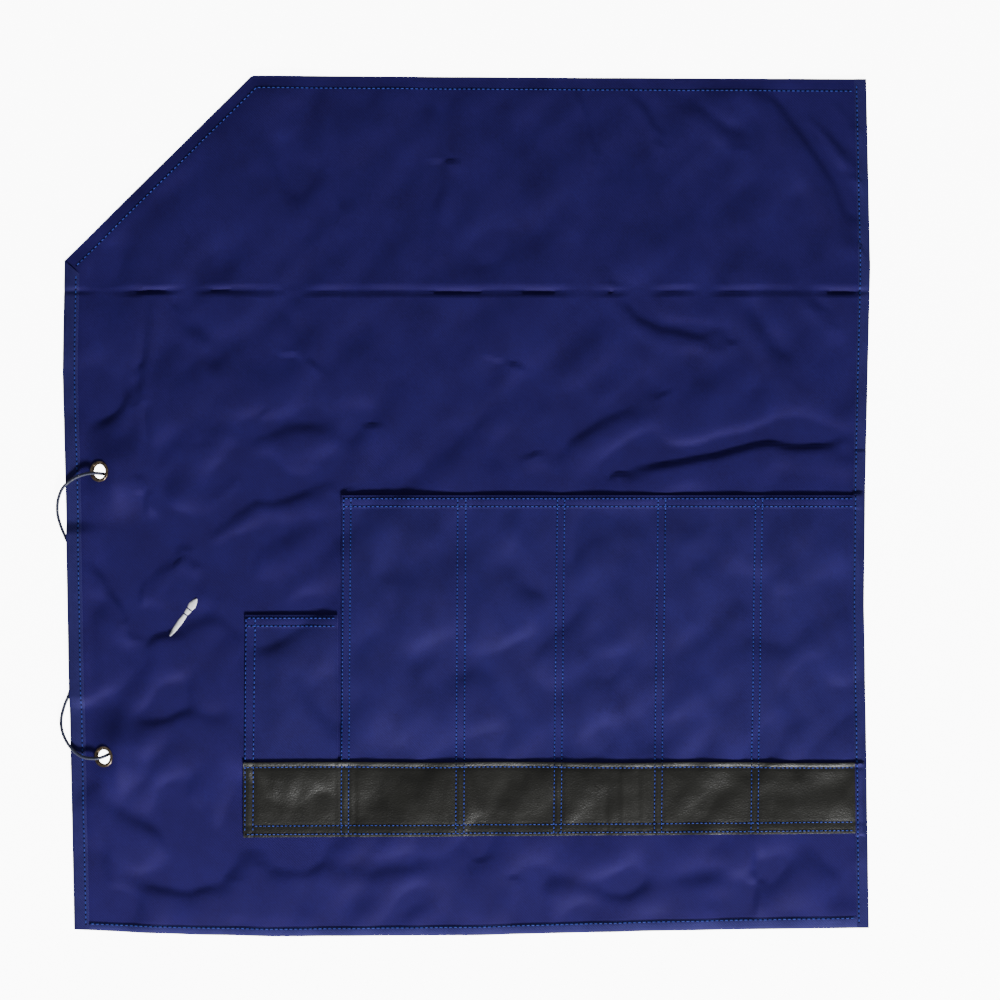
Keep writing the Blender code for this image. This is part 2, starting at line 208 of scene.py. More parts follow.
camera_data = bpy.data.cameras.new("camera")
camera_data.lens = LENS
camera = bpy.data.objects.new("camera", camera_data)
camera.location = (VIEW_CENTRE[0] * MM, VIEW_CENTRE[1] * MM, VIEW_HEIGHT * MM)
bpy.context.scene.collection.objects.link(camera)
bpy.context.scene.camera = camera

# Elastic tie cord: 2 mm round rubber core in a braided navy cover. It comes out of the upper eyelet,
# goes round the left edge and behind the panel, and back over the edge into the lower eyelet.
CORD_D = 2.0
CORD_STEP = 1.5
CORD_SIDES = 2
CORD_ROUTE = [
    (-220.5, 19.4, 2.6), (-222.2, 19.6, 2.75), (-223.9, 19.8, 3.1), (-225.6, 20.0, 3.75),
    (-227.4, 20.15, 4.45), (-229.6, 20.3, 4.85), (-232.4, 20.2, 4.8), (-236.4, 19.5, 4.4),
    (-241.2, 17.8, 3.9), (-246.0, 14.9, 3.45), (-250.3, 10.4, 2.9), (-253.0, 3.2, 1.8),
    (-253.3, -4.7, 1.1), (-251.6, -11.6, 1.08), (-249.0, -18.0, 1.08), (-245.6, -26.0, 1.08),
    (-242.8, -36.0, 1.08), (-241.0, -50.0, 1.08), (-240.4, -67.0, 1.08), (-240.9, -84.0, 1.08),
    (-242.6, -100.0, 1.08), (-245.6, -114.6, 1.08), (-249.2, -124.0, 1.1), (-251.0, -132.6, 1.8),
    (-249.9, -140.2, 2.9), (-246.2, -147.6, 3.5), (-241.2, -152.9, 3.9), (-236.0, -155.6, 4.4),
    (-230.4, -156.2, 4.85), (-227.2, -155.9, 4.9), (-224.8, -155.2, 4.4), (-222.9, -154.4, 3.7),
    (-221.2, -153.5, 3.0),
]


def smooth_route(points, step):
    """Points at even steps along a smooth curve through the route's own points."""
    ends = [points[0] * 2 - points[1]] + points + [points[-1] * 2 - points[-2]]
    dense = [points[0]]
    for a, b, c, d in zip(ends, ends[1:], ends[2:], ends[3:]):
        dense += geometry.interpolate_bezier(b, b + (c - a) / 6, c - (d - b) / 6, c, 24)[1:]
    total = sum((b - a).length for a, b in zip(dense, dense[1:]))
    spacing = total / round(total / step)
    made, run = [dense[0]], 0.0
    for a, b in zip(dense, dense[1:]):
        run += (b - a).length
        if run >= spacing * len(made) - 1e-6:
            made.append(b)
    made[-1] = dense[-1]
    return made


def length_of(points):
    return sum((b - a).length for a, b in zip(points, points[1:]))


def tube(name, points, width, closed=False):
    """A round cord along points in millimetres, as a mesh with the curve's own UV map."""
    curve = bpy.data.curves.new(name, "CURVE")
    curve.dimensions = "3D"
    curve.bevel_depth = width / 2 * MM
    curve.bevel_resolution = CORD_SIDES
    curve.use_fill_caps = not closed
    line = curve.splines.new("POLY")
    line.points.add(len(points) - 1)
    line.use_cyclic_u = closed
    for knot, point in zip(line.points, points):
        knot.co = (*(point * MM), 1)
    source = bpy.data.objects.new(name + "_curve", curve)
    bpy.context.scene.collection.objects.link(source)
    depsgraph = bpy.context.evaluated_depsgraph_get()
    mesh = bpy.data.meshes.new_from_object(source.evaluated_get(depsgraph))
    bpy.data.objects.remove(source, do_unlink=True)
    mesh.name = name
    mesh.shade_smooth()
    made = bpy.data.objects.new(name, mesh)
    bpy.context.scene.collection.objects.link(made)
    return made


def new_finish(name, roughness, metallic=0.0):
    """A node material: its Principled shader and a function that adds a node with its settings."""
    finish = bpy.data.materials.new(name)
    finish.use_nodes = True
    tree = finish.node_tree
    shader = tree.nodes["Principled BSDF"]
    shader.inputs["Roughness"].default_value = roughness
    shader.inputs["Metallic"].default_value = metallic

    def add(kind, settings=None, **sockets):
        node = tree.nodes.new(kind)
        for key, value in (settings or {}).items():
            setattr(node, key, value)
        for key, value in sockets.items():
            socket = node.inputs[key.replace("_", " ")]
            if isinstance(value, bpy.types.NodeSocket):
                tree.links.new(value, socket)
            else:
                socket.default_value = value
        return node

    def link(source, target):
        tree.links.new(source, shader.inputs[target])

    return finish, shader, add, link


def ramp(add, factor, *stops):
    """A colour ramp through (position, colour) stops."""
    node = add("ShaderNodeValToRGB", Fac=factor)
    while len(node.color_ramp.elements) < len(stops):
        node.color_ramp.elements.new(0.5)
    for element, (position, colour) in zip(node.color_ramp.elements, stops):
        element.position = position
        element.color = (*colour, 1)
    return node.outputs["Color"]


def dent(add, link, height, strength, depth):
    """Bump from a pattern's height, to a depth in metres."""
    bump = add("ShaderNodeBump", Height=height, Strength=strength, Distance=depth)
    link(bump.outputs["Normal"], "Normal")


def braid_finish(name, dark, light):
    """Braided cover: two sets of strands crossing round the cord."""
    finish, shader, add, link = new_finish(name, 0.5)
    shader.inputs["Sheen Weight"].default_value = 0.2
    place = add("ShaderNodeTexCoord")
    turned = add("ShaderNodeMapping", Vector=place.outputs["Object"], Rotation=(0.5, 0.4, 0.9))
    one = add("ShaderNodeTexWave", Vector=turned.outputs["Vector"], Scale=420.0, Distortion=0.6)
    other = add("ShaderNodeMapping", Vector=place.outputs["Object"], Rotation=(-0.4, 0.5, -0.7))
    two = add("ShaderNodeTexWave", Vector=other.outputs["Vector"], Scale=420.0, Distortion=0.6)
    both = add("ShaderNodeMath", {"operation": "MULTIPLY"})
    add_link = both.id_data.links.new
    add_link(one.outputs["Fac"], both.inputs[0])
    add_link(two.outputs["Fac"], both.inputs[1])
    link(ramp(add, both.outputs[0], (0.0, dark), (0.7, light)), "Base Color")
    dent(add, link, both.outputs[0], 0.6, 0.00015)
    return finish


cord_finish = braid_finish("braided_navy_elastic", (0.004, 0.006, 0.022), (0.022, 0.030, 0.085))
cord_points = smooth_route([Vector(point) for point in CORD_ROUTE], CORD_STEP)
cord = tube("tie_cord", cord_points, CORD_D)
cord.data.materials.append(cord_finish)
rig.replaces(cord, "cord")
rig.slot(cord, "elastic")
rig.ride(cord, "margin")

# Overhand knots in the ends of the cord, each drawn as a closed trefoil of the same cord. They lie
# behind the panel, to the right of their eyelets, and keep the cord from pulling through.
KNOT_POINTS = 56
KNOT_REACH = 3.0

knots = []
for side in ("upper", "lower"):
    low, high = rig.box(f"knot_{side}")
    half = (high - low) / 2 / MM - Vector((CORD_D, CORD_D, CORD_D)) / 2
    middle = (low + high) / 2 / MM
    loop = []
    for step in range(KNOT_POINTS):
        turn = 2 * math.pi * step / KNOT_POINTS
        x = (math.sin(turn) + 2 * math.sin(2 * turn)) / KNOT_REACH
        y = (math.cos(turn) - 2 * math.cos(2 * turn)) / KNOT_REACH
        loop.append(middle + Vector((x * half.x, y * half.y, -math.sin(3 * turn) * half.z)))
    knot = tube(f"cord_knot_{side}", loop, CORD_D, closed=True)
    knot.data.materials.append(cord_finish)
    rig.replaces(knot, f"knot_{side}")
    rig.slot(knot, "elastic")
    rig.ride(knot, "margin")
    knots.append(knot)
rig.cord(
    cord, exit=cord_points[0] * MM, length=length_of(cord_points) * MM, diameter=CORD_D * MM,
    far_end="object", stiffness="limp", lay="loose", path=[point * MM for point in cord_points],
    with_pieces=knots,
)

# Floor and light: a plain white table that glows, hidden from the rays that would carry its glow to
# the case. A low round key light stands beyond the foot of the case, a little to the right, and soft
# light comes from all round.
KEY_AZIMUTH = 12
KEY_ELEVATION = 27
KEY_DISTANCE = 2.5
KEY_POWER = 152
KEY_SIZE = 0.5
FLOOR_GLOW = 9.5
FLOOR_HALF = 6
FLOOR_GAP = 0.4
SKY = 0.3

bm = bmesh.new()
bmesh.ops.create_grid(bm, x_segments=1, y_segments=1, size=FLOOR_HALF)
bmesh.ops.translate(bm, verts=bm.verts[:], vec=(0, 0, -FLOOR_GAP * MM))
floor_mesh = bpy.data.meshes.new("table_top")
bm.to_mesh(floor_mesh)
bm.free()
floor_finish, floor_shader, _, _ = new_finish("white_table", 0.8)
floor_shader.inputs["Base Color"].default_value = (0.86, 0.86, 0.86, 1)
floor_shader.inputs["Emission Color"].default_value = (1, 1, 1, 1)
floor_shader.inputs["Emission Strength"].default_value = FLOOR_GLOW
floor_mesh.materials.append(floor_finish)
floor = bpy.data.objects.new("table_top", floor_mesh)
bpy.context.scene.collection.objects.link(floor)
floor.visible_diffuse = False
floor.visible_glossy = False
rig.stage(floor)

key_data = bpy.data.lights.new("key", "AREA")
key_data.shape = "DISK"
key_data.size = KEY_SIZE
key_data.energy = KEY_POWER
key = bpy.data.objects.new("key", key_data)
key.rotation_euler = (math.radians(90 - KEY_ELEVATION), 0, math.radians(KEY_AZIMUTH))
key.location = key.rotation_euler.to_matrix() @ Vector((0, 0, KEY_DISTANCE))
bpy.context.scene.collection.objects.link(key)
world = bpy.data.worlds.new("studio")
world.use_nodes = True
world.node_tree.nodes["Background"].inputs["Color"].default_value = (1, 1, 1, 1)
world.node_tree.nodes["Background"].inputs["Strength"].default_value = SKY
bpy.context.scene.world = world

# Main panel: one layer of royal blue cotton twill with a satin face, cut as a rectangle with its upper
# left corner taken off. It lies in soft wrinkles, and bends at the seams between the pockets.
PANEL_CLOTH = 0.9
PANEL_CELL = 1.9
BEND_HALF = 5.0
CREASE_HALF = 4.5
LEFT_EDGE = [(-262.4, -243.0), (-108, -246.1), (14, -248.3), (82, -250.2), (152, -248.9)]
RIGHT_EDGE = [(-262, 249.4), (-148, 247.7), (-62, 246.3), (13, 247.1), (149, 250.2), (265, 247.7)]
BOTTOM_EDGE = [(-243, -262.3), (-195, -264.7), (-120, -266.6), (0, -266), (130, -262.9), (250, -261.3)]
TOP_EDGE = [(-133, 266.7), (52, 265.4), (250, 264.5)]
SLANT_LOW = (-248.9, 151.9)
SLANT_HIGH = (-133.0, 266.7)
SEAMS = [joint["pos_m"][0] / MM for joint in frame["joints"] if joint["name"].startswith("roll_up")]
LAST = len(SEAMS)
CREASE_Y = next(joint["pos_m"][1] for joint in frame["joints"] if joint["name"] == "flap_fold") / MM

# Wrinkles of the cloth as (points along the fold, share of WRINKLE_RISE, width in mm).
WRINKLES = [
    ([(182, 262), (205, 232), (226, 200), (240, 170)], 0.8, 6.5),
    ([(207, 250), (226, 230), (240, 208)], 0.5, 4.2),
    ([(226, 256), (240, 238)], 0.26, 2.8),
    ([(69, 260), (76, 240), (80, 215)], 0.25, 2.6),
    ([(104, 256), (113, 243), (120, 228)], 0.3, 3.2),
    ([(136, 250), (152, 238), (168, 226)], 0.3, 4.0),
    ([(96, 131), (106, 117), (120, 108), (156, 103)], 0.4, 4.6),
    ([(167, 129), (182, 108), (198, 84)], 0.32, 5.0),
    ([(209, 131), (225, 116)], 0.24, 3.4),
    ([(104, 21), (155, 30), (190, 39), (236, 35)], 0.95, 6.5),
    ([(52, 36), (82, 48), (112, 64)], 0.4, 7.0),
    ([(-150, 40), (-112, 46), (-70, 49)], 0.42, 7.5),
    ([(-195, 131), (-202, 64), (-199, 8), (-204, -68)], 0.3, 2.6),
    ([(-206, 78), (-216, 58), (-236, 36)], 0.4, 5.0),
    ([(-170, -28), (-150, -12), (-130, 3), (-84, 8)], 0.45, 6.5),
    ([(-236, -32), (-217, -55), (-205, -76)], 0.55, 4.4),
    ([(-205, -74), (-176, -84), (-146, -62)], 0.5, 6.0),
    ([(-197, 10), (-184, -10), (-168, -32)], 0.36, 4.6),
    ([(-212, -140), (-178, -128), (-146, -140)], 0.42, 6.5),
    ([(-238, -176), (-212, -196), (-180, -206)], 0.36, 6.0),
    ([(-226, -226), (-190, -238), (-150, -232)], 0.34, 6.0),
    ([(-120, -222), (-60, -228), (0, -220)], 0.22, 6.0),
    ([(40, -232), (100, -240), (170, -228)], 0.28, 6.0),
    ([(176, -206), (180, -232), (179, -256)], 0.25, 2.8),
    ([(-150, 240), (-120, 214), (-104, 176)], 0.2, 7.0),
    ([(-86, 262), (-84, 226), (-78, 180)], 0.22, 4.0),
    ([(-20, 258), (-14, 214), (-22, 160)], 0.2, 4.4),
    ([(20, 124), (24, 90), (12, 60)], 0.2, 6.0),
    ([(-110, 122), (-100, 92), (-120, 66)], 0.22, 6.5),
    ([(-176, 118), (-160, 100), (-158, 76)], 0.24, 5.0),
]


def along(points, at):
    """The position on an edge, straight between its few corners."""
    for (a, low), (b, high) in zip(points, points[1:]):
        if at <= b:
            break
    return low + (high - low) * (at - a) / (b - a)


def ease(value):
    held = min(max(value, 0.0), 1.0)
    return held * held * (3 - 2 * held)


def left_edge(y):
    return along(LEFT_EDGE, y)


def right_edge(y):
    return along(RIGHT_EDGE, y)


def bottom_edge(x):
    return along(BOTTOM_EDGE, x)


def slant(x):
    (x0, y0), (x1, y1) = SLANT_LOW, SLANT_HIGH
    return y0 + (y1 - y0) * (x - x0) / (x1 - x0)


def top_edge(x):
    return slant(x) if x < SLANT_HIGH[0] else along(TOP_EDGE, x)


def off_line(x, y, points):
    """Signed distance from a line of points, and how far past its ends: positive towards the top."""
    best = None
    for (x0, y0), (x1, y1) in zip(points, points[1:]):
        dx, dy = x1 - x0, y1 - y0
        size = math.hypot(dx, dy)
        run = ((x - x0) * dx + (y - y0) * dy) / size
        held = min(max(run, 0.0), size)
        away = math.hypot(x - x0 - dx * held / size, y - y0 - dy * held / size)
        side = (y - y0) * dx - (x - x0) * dy
        upward = 1 if dx > 0 or (dx == 0 and dy < 0) else -1
        if best is None or away < best[0]:
            best = (away, math.copysign(1, side * upward))
    return best


def reach_of(points, margin):
    """The box round a line of points, with a margin."""
    xs, ys = zip(*points)
    return min(xs) - margin, max(xs) + margin, min(ys) - margin, max(ys) + margin


WRINKLE_REACH = [(reach_of(points, 3.6 * width), points, rise, width) for points, rise, width in WRINKLES]


def wrinkle(x, y):
    """The folds that run across the cloth, each raised on its lit side and sunk on its shaded side."""
    total = 0.0
    for (x_low, x_high, y_low, y_high), points, rise, width in WRINKLE_REACH:
        if not (x_low < x < x_high and y_low < y < y_high):
            continue
        away, side = off_line(x, y, points)
        ends = min(math.hypot(x - points[i][0], y - points[i][1]) for i in (0, -1))
        fade = ease(ends / (3 * width))
        share = away / width
        total -= side * rise * fade * share * math.exp((1 - share * share) / 2)
    return total


def uneven(x, y, layer):
    """A smooth irregular value between -1 and 1, with another pattern for each layer."""
    return noise.noise(Vector((x, y, layer)))


def waves(x, y):
    """Broad soft waves with finer ones between them, deeper low on the case and towards its left."""
    broad = uneven(x / 31, y / 44, 3.1)
    slow = uneven(x / 96, y / 70, 8.7)
    turned = uneven((x + y) / 58, (y - x) / 26, 5.2)
    fine = uneven(x / 12, y / 14, 1.4)
    lower = 0.72 + 0.5 * ease((150 - y) / 230)
    leftward = 1 + 0.4 * ease((-60 - x) / 120)
    return (0.62 * broad + 0.4 * slow + 0.46 * turned + 0.07 * fine) * lower * leftward


# The margin stands up over the knots behind it and over the cord where it passes behind the edge.
EYELETS = {}
for side in ("upper", "lower"):
    low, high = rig.box(f"eyelet_{side}")
    EYELETS[side] = (low + high) / 2 / MM
EYELET_TILT = math.radians(22)
KNOT_PROFILE = [(-22, 0.25), (-12.4, 0.3), (-7.2, 0.7), (7.2, 6.5), (11, 6.5), (17, 4.7), (27, 1.6), (38, 0)]
CORD_PROFILE = [(-24, 2.45), (-12.4, 2.5), (-7.2, 1.3), (2, 0.0)]
MOUND_HALF = 4.5
MOUND_FALL = 30.0
MOUND_END = 40.0
MOUND_CALM = 14.0
CORD_BEHIND = (-126, -9)
CORD_FALL = 9.0


def eyelet_line(y):
    upper, lower = EYELETS["upper"], EYELETS["lower"]
    return lower.x + (upper.x - lower.x) * (y - lower.y) / (upper.y - lower.y)


def profile_height(points, at):
    if at <= points[0][0]:
        return points[0][1]
    if at >= points[-1][0]:
        return points[-1][1]
    return along(points, at)


def rounded(points, at, reach=1.6):
    """A profile with its corners rounded over a short reach."""
    return sum(profile_height(points, at + reach * step) for step in (-1, -0.5, 0, 0.5, 1)) / 5


def mound(x, y):
    """How far the margin stands up over the knots and the cord, and its share in calming the wrinkles."""
    away = x - eyelet_line(y)
    if away > MOUND_END:
        return 0.0, 0.0
    height = taken = 0.0
    for eyelet in EYELETS.values():
        share = 1 - ease((abs(y - eyelet.y) - MOUND_HALF) / MOUND_FALL)
        height = max(height, rounded(KNOT_PROFILE, away) * share)
        taken = max(taken, share * (1 - ease((abs(away) - MOUND_CALM) / MOUND_CALM)))
    low, high = CORD_BEHIND
    share = ease((y - low) / CORD_FALL) * ease((high - y) / CORD_FALL)
    height = max(height, rounded(CORD_PROFILE, away) * share)
    return height, max(taken, 0.6 * share * (1 - ease((away + 8) / 10)))


CREASE_RISE = 0.75
CREASE_SLOPE = 1.7
CREASE_FALL = 13.0
CREASE_FLAT = 3.4
LOFT = 1.15
LOFT_MOST = 2.4
EDGE_CALM = 16.0
WAVE_RISE = 4.8
WRINKLE_RISE = 4.2
ROUNDING = 0.06


def under(x, y):
    """Height of the panel's underside over the table."""
    calm = ease(min(x - left_edge(y), right_edge(y) - x, y - bottom_edge(x), top_edge(x) - y) / EDGE_CALM)
    fold = CREASE_Y + 0.7 * uneven(x / 34, 4.4, 0)
    away = abs(y - fold)
    strength = 1 + 0.4 * uneven(x / 52, 1.7, 0)
    shape = LOFT * (0.3 + 0.7 * calm) + (0.35 + 0.65 * calm) * WAVE_RISE * waves(x, y)
    shape += wrinkle(x, y) * WRINKLE_RISE * (0.25 + 0.75 * calm)
    shape *= ease(away / CREASE_FLAT)
    shape += CREASE_RISE * strength * (1 - math.exp(-away / CREASE_SLOPE)) * math.exp(-away / CREASE_FALL)
    shape = (shape + math.sqrt(shape * shape + ROUNDING)) / 2
    held = LOFT_MOST * math.tanh(shape / LOFT_MOST)
    raised, taken = mound(x, y)
    return held * (1 - taken) + raised


def panel_top(x, y):
    return under(x, y) + PANEL_CLOTH


def cut_round(bm, centre, radius, lie, cell):
    """Takes a round hole out of a cloth grid and draws the cloth's edge onto its rim."""
    inside = [f for f in bm.faces if (f.calc_center_median().xy - centre).length < radius]
    bmesh.ops.delete(bm, geom=inside, context="FACES")
    for vert in bm.verts:
        away = vert.co.xy - centre
        if vert.is_boundary and away.length < radius + 2 * cell:
            x, y = centre + away.normalized() * radius
            vert.co = (x, y, lie(x, y))


def piece(name, bm, finish, slot, sharp=50):
    """Makes the object from a mesh in millimetres, with its place in the mesh."""
    bmesh.ops.recalc_face_normals(bm, faces=bm.faces[:])
    bmesh.ops.scale(bm, verts=bm.verts[:], vec=(MM, MM, MM))
    mesh = bpy.data.meshes.new(name)
    bm.to_mesh(mesh)
    bm.free()
    mesh.shade_smooth()
    mesh.set_sharp_from_angle(angle=math.radians(sharp))
    mesh.materials.append(finish)
    made = bpy.data.objects.new(name, mesh)
    bpy.context.scene.collection.objects.link(made)
    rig.slot(made, slot)
    return made


def cloth(name, size, place, thickness, finish, slot, holes, cell):
    """A piece of cloth: a grid laid at place(u, v), given its thickness upwards, with crisp rims."""
    bm = bmesh.new()
    columns, rows = max(2, round(size[0] / cell)), max(1, round(size[1] / cell))
    bmesh.ops.create_grid(bm, x_segments=columns, y_segments=rows, size=0.5)
    for vert in bm.verts:
        vert.co = place(vert.co.x + 0.5, vert.co.y + 0.5)
    for centre, radius, lie in holes:
        cut_round(bm, centre, radius, lie, cell)
    made = bmesh.ops.extrude_face_region(bm, geom=bm.faces[:], use_keep_orig=True)
    raised = [item for item in made["geom"] if isinstance(item, bmesh.types.BMVert)]
    bmesh.ops.translate(bm, verts=raised, vec=(0, 0, thickness))
    return piece(name, bm, finish, slot)


def column_body(index):
    return "margin" if index == 0 else f"column_{index}"


def strip_body(index):
    return "flap_strip_margin" if index == 0 else f"flap_strip_{index}"


def middle_of(index, y):
    """Where the middle of a column lies, or the outer edge of the first and the last."""
    if index == 0:
        return left_edge(y)
    if index == LAST:
        return right_edge(y)
    return (SEAMS[index - 1] + SEAMS[index]) / 2


def bend_at_seam(made, seam):
    """The piece bends where the case rolls up, between the columns left and right of a seam."""
    x = SEAMS[seam - 1] * MM
    reach = BEND_HALF * MM
    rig.blend(made, column_body(seam - 1), column_body(seam), start=(x - reach, 0, 0), end=(x + reach, 0, 0))


def bend_at_crease(made, index):
    """The piece bends where the flap folds down."""
    y, reach = CREASE_Y * MM, CREASE_HALF * MM
    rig.blend(made, column_body(index), strip_body(index), start=(0, y - reach, 0), end=(0, y + reach, 0))


RIB = 0.85
WAVES_PER_RIB = 0.314


def twill_finish(name, dark, light):
    """Cotton twill: fine diagonal ribs, a slightly uneven dye and a satin sheen."""
    finish, shader, add, link = new_finish(name, 0.62)
    shader.inputs["Sheen Weight"].default_value = 0.2
    shader.inputs["Sheen Roughness"].default_value = 0.35
    shader.inputs["Sheen Tint"].default_value = (0.3, 0.22, 1.0, 1)
    shader.inputs["Specular IOR Level"].default_value = 0.16
    shader.inputs["Specular Tint"].default_value = (0.6, 0.5, 1.0, 1)
    place = add("ShaderNodeTexCoord").outputs["Object"]
    turned = add("ShaderNodeMapping", Vector=place, Rotation=(0, 0, math.radians(58)))
    wave_scale = WAVES_PER_RIB / (RIB * MM)
    ribs = add(
        "ShaderNodeTexWave", Vector=turned.outputs["Vector"], Scale=wave_scale, Distortion=1.1, Detail=1.0,
    )
    threads = add("ShaderNodeTexNoise", Vector=place, Scale=1050.0, Detail=2.0)
    patches = add("ShaderNodeTexNoise", Vector=place, Scale=38.0, Detail=4.0, Roughness=0.6)
    both = add("ShaderNodeMix", A=0.5, B=0.5)
    joined = both.id_data.links.new
    joined(threads.outputs["Fac"], both.inputs["A"])
    joined(ribs.outputs["Fac"], both.inputs["B"])
    shade = add("ShaderNodeMix", A=0.5, B=0.5)
    shade.inputs["Factor"].default_value = 0.4
    joined(both.outputs["Result"], shade.inputs["A"])
    joined(patches.outputs["Fac"], shade.inputs["B"])
    link(ramp(add, shade.outputs["Result"], (0.4, dark), (0.6, light)), "Base Color")
    dent(add, link, both.outputs["Result"], 0.55, 0.0002)
    return finish


panel_finish = twill_finish("royal_blue_twill", (0.0060, 0.0034, 0.041), (0.0150, 0.0092, 0.100))
EDGE_STEPS = 12
cuts = {}


def lay(name, x_low, x_high, y_low, y_high, lie, thickness, finish, slot, holes=(), cell=PANEL_CELL):
    """A piece of cloth between edges given as functions, lying at lie(x, y). Keeps the size of its cut."""
    def place(u, v):
        middle = x_low(0) + (x_high(0) - x_low(0)) * u
        y = y_low(middle) + (y_high(middle) - y_low(middle)) * v
        x = x_low(y) + (x_high(y) - x_low(y)) * u
        y = y_low(x) + (y_high(x) - y_low(x)) * v
        x = x_low(y) + (x_high(y) - x_low(y)) * u
        return x, y, lie(x, y)

    steps = [(i + 0.5) / EDGE_STEPS for i in range(EDGE_STEPS)]
    across = sum(place(1, v)[0] - place(0, v)[0] for v in steps) / EDGE_STEPS
    spans = [place(u, 1)[1] - place(u, 0)[1] for u in steps]
    size = (across, max(spans))
    made = cloth(name, size, place, thickness, finish, slot, holes, cell)
    flat = (across * MM, max(spans) * MM)
    cuts[name] = {"flat": flat, "area": across * sum(spans) / EDGE_STEPS * MM * MM}
    return made


def declare(made, rests_on, with_pieces=(), held="laid"):
    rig.sheet(made, held=held, rests_on=rests_on, with_pieces=with_pieces, **cuts[made.name])


def level(at):
    """A straight edge, at one place all along."""
    return lambda along_it: at


def column_middle(index):
    return lambda y: middle_of(index, y)


CREASE_LOW = CREASE_Y - CREASE_HALF
HOLE_R = 5.3

for seam in range(1, LAST + 1):
    holes = []
    if seam == 1:
        holes = [(eyelet.xy, HOLE_R, under) for eyelet in EYELETS.values()]
    made = lay(
        f"panel_cloth_{seam}", column_middle(seam - 1), column_middle(seam), bottom_edge, level(CREASE_LOW),
        under, PANEL_CLOTH, panel_finish, "twill", holes,
    )
    bend_at_seam(made, seam)
    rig.replaces(made, f"panel_{seam}")
    if seam == 1:
        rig.replaces(made, "panel_margin")

# Top flap: the upper part of the same cloth, past a pressed crease. It folds down over the brushes
# before the case is rolled, and its strips follow the columns below them.


def side_of(index):
    """The line between two strips, or the outer edge."""
    if index == 0:
        return left_edge
    if index == LAST + 1:
        return right_edge
    return lambda y: SEAMS[index - 1]


for index in range(LAST + 1):
    made = lay(
        f"flap_cloth_{index}", side_of(index), side_of(index + 1), level(CREASE_LOW), top_edge,
        under, PANEL_CLOTH, panel_finish, "twill",
    )
    bend_at_crease(made, index)
    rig.replaces(made, "flap_margin" if index == 0 else f"flap_{index}")

# Pockets: one length of the same twill, sewn on along its bottom and between the brushes, with its
# top edge turned to a hem with two rows of stitches. A second, shorter pocket is on its left.
POCKET_CLOTH = 0.5
MOUTH_CLOTH = 0.5
TALL_TOP = 6.5
TALL_LEFT = -77.3
SHORT_TOP = -67.6
SHORT_LEFT = -137.0
SHORT_RIGHT = -79.6
POCKET_FOOT = -203.6
MOUTH_HEM = 8.2
MOUTH_OVER = 0.15
MOUTH_LIFT = 0.35
POCKET_PUFF = 1.3
POCKET_RIPPLE = 0.95
POCKET_DRAG = 0.75
CORNER_LIFT = 0.6
LEATHER_TOP = -158.9
RIGHT_HEM = 7.5
UNDER_HEM = 5.4
# Each divider's two rows of stitches, as (top, bottom) positions across the case.
DIVIDERS = [
    ((-75.9, -77.6), (-71.5, -73.1)), ((-5.3, -6.6), (-0.3, -1.6)), ((56.4, 54.0), (60.9, 58.5)),
    ((118.7, 116.1), (123.3, 120.6)), ((178.9, 176.0), (183.2, 180.3)),
]
SHORT_ROWS = [((-136.0, -137.2), (-129.9, -132.3))]


def right_hem_inner(y):
    return right_edge(y) - RIGHT_HEM


def divider_x(row, y):
    top, bottom = row
    return top + (bottom - top) * (TALL_TOP - y) / (TALL_TOP - POCKET_FOOT)


def pocket_sides(x, y, short):
    """Distances to the sewn lines on the left and on the right of a point in a pocket."""
    if short:
        return x - divider_x(SHORT_ROWS[0][1], y), SHORT_RIGHT - 1.5 - x
    rights = [divider_x(pair[0], y) for pair in DIVIDERS[1:]] + [right_hem_inner(y)]
    lefts = [divider_x(pair[1], y) for pair in DIVIDERS]
    for left, right in zip(lefts, rights):
        if x < right + 2.5:
            return x - left, right - x
    return x - left, right - x


def puff(x, y, short):
    """How far a pocket's cloth stands off the panel: sewn flat at its sides, loose at its mouth."""
    top = SHORT_TOP if short else TALL_TOP
    left, right = pocket_sides(x, y, short)
    inward = min(left, right)
    down = top - y
    loose = ease((y - LEATHER_TOP) / 34) * (0.1 + 0.9 * ease((down - 5) / 26))
    body = POCKET_PUFF * ease(inward / 17) * loose
    free = ease(inward / 9) * loose
    ripple = POCKET_RIPPLE * uneven(x / 15, y / 34, 6.6 if short else 2.6) * free
    diagonal = POCKET_DRAG * uneven((x + 0.6 * y) / 17, (y - 0.6 * x) / 40, 4.4) * free
    mouth = MOUTH_LIFT * ease(1 - down / 9)
    if not short:
        corner = x - TALL_LEFT
        mouth += CORNER_LIFT * ease((corner + 2) / 8) * (1 - ease((corner - 10) / 70)) * ease(1 - down / 8)
    sewn = -0.25 * math.exp(-((inward / 1.3) ** 2)) * (1 - ease(1 - down / 4))
    return max(0.04, 0.3 + body + ripple + diagonal + mouth * (0.72 + 0.28 * ease(inward / 10)) + sewn)


def tall_lie(x, y):
    return panel_top(x, y) + puff(x, y, False)


def short_lie(x, y):
    return panel_top(x, y) + puff(x, y, True)


def mouth_rise(y, top):
    """The section of a pocket's mouth hem, rounded at its upper fold and at its lower edge."""
    down = top - y
    swell = 0.05 * math.sin(math.pi * min(max(down / MOUTH_HEM, 0), 1))
    return 0.04 + swell - 0.4 * (1 - ease(down / 1.1)) ** 2 - 0.3 * ease((down - MOUTH_HEM + 1.0) / 1.0)


def mouth_lie(short):
    base, top = (short_lie, SHORT_TOP) if short else (tall_lie, TALL_TOP)
    return lambda x, y: base(x, y) + POCKET_CLOTH + mouth_rise(y, top)


pocket_finish = twill_finish("pocket_twill", (0.0070, 0.0048, 0.044), (0.0175, 0.0125, 0.110))


POCKET_MIDDLE = -100
WELL_OUT = 300


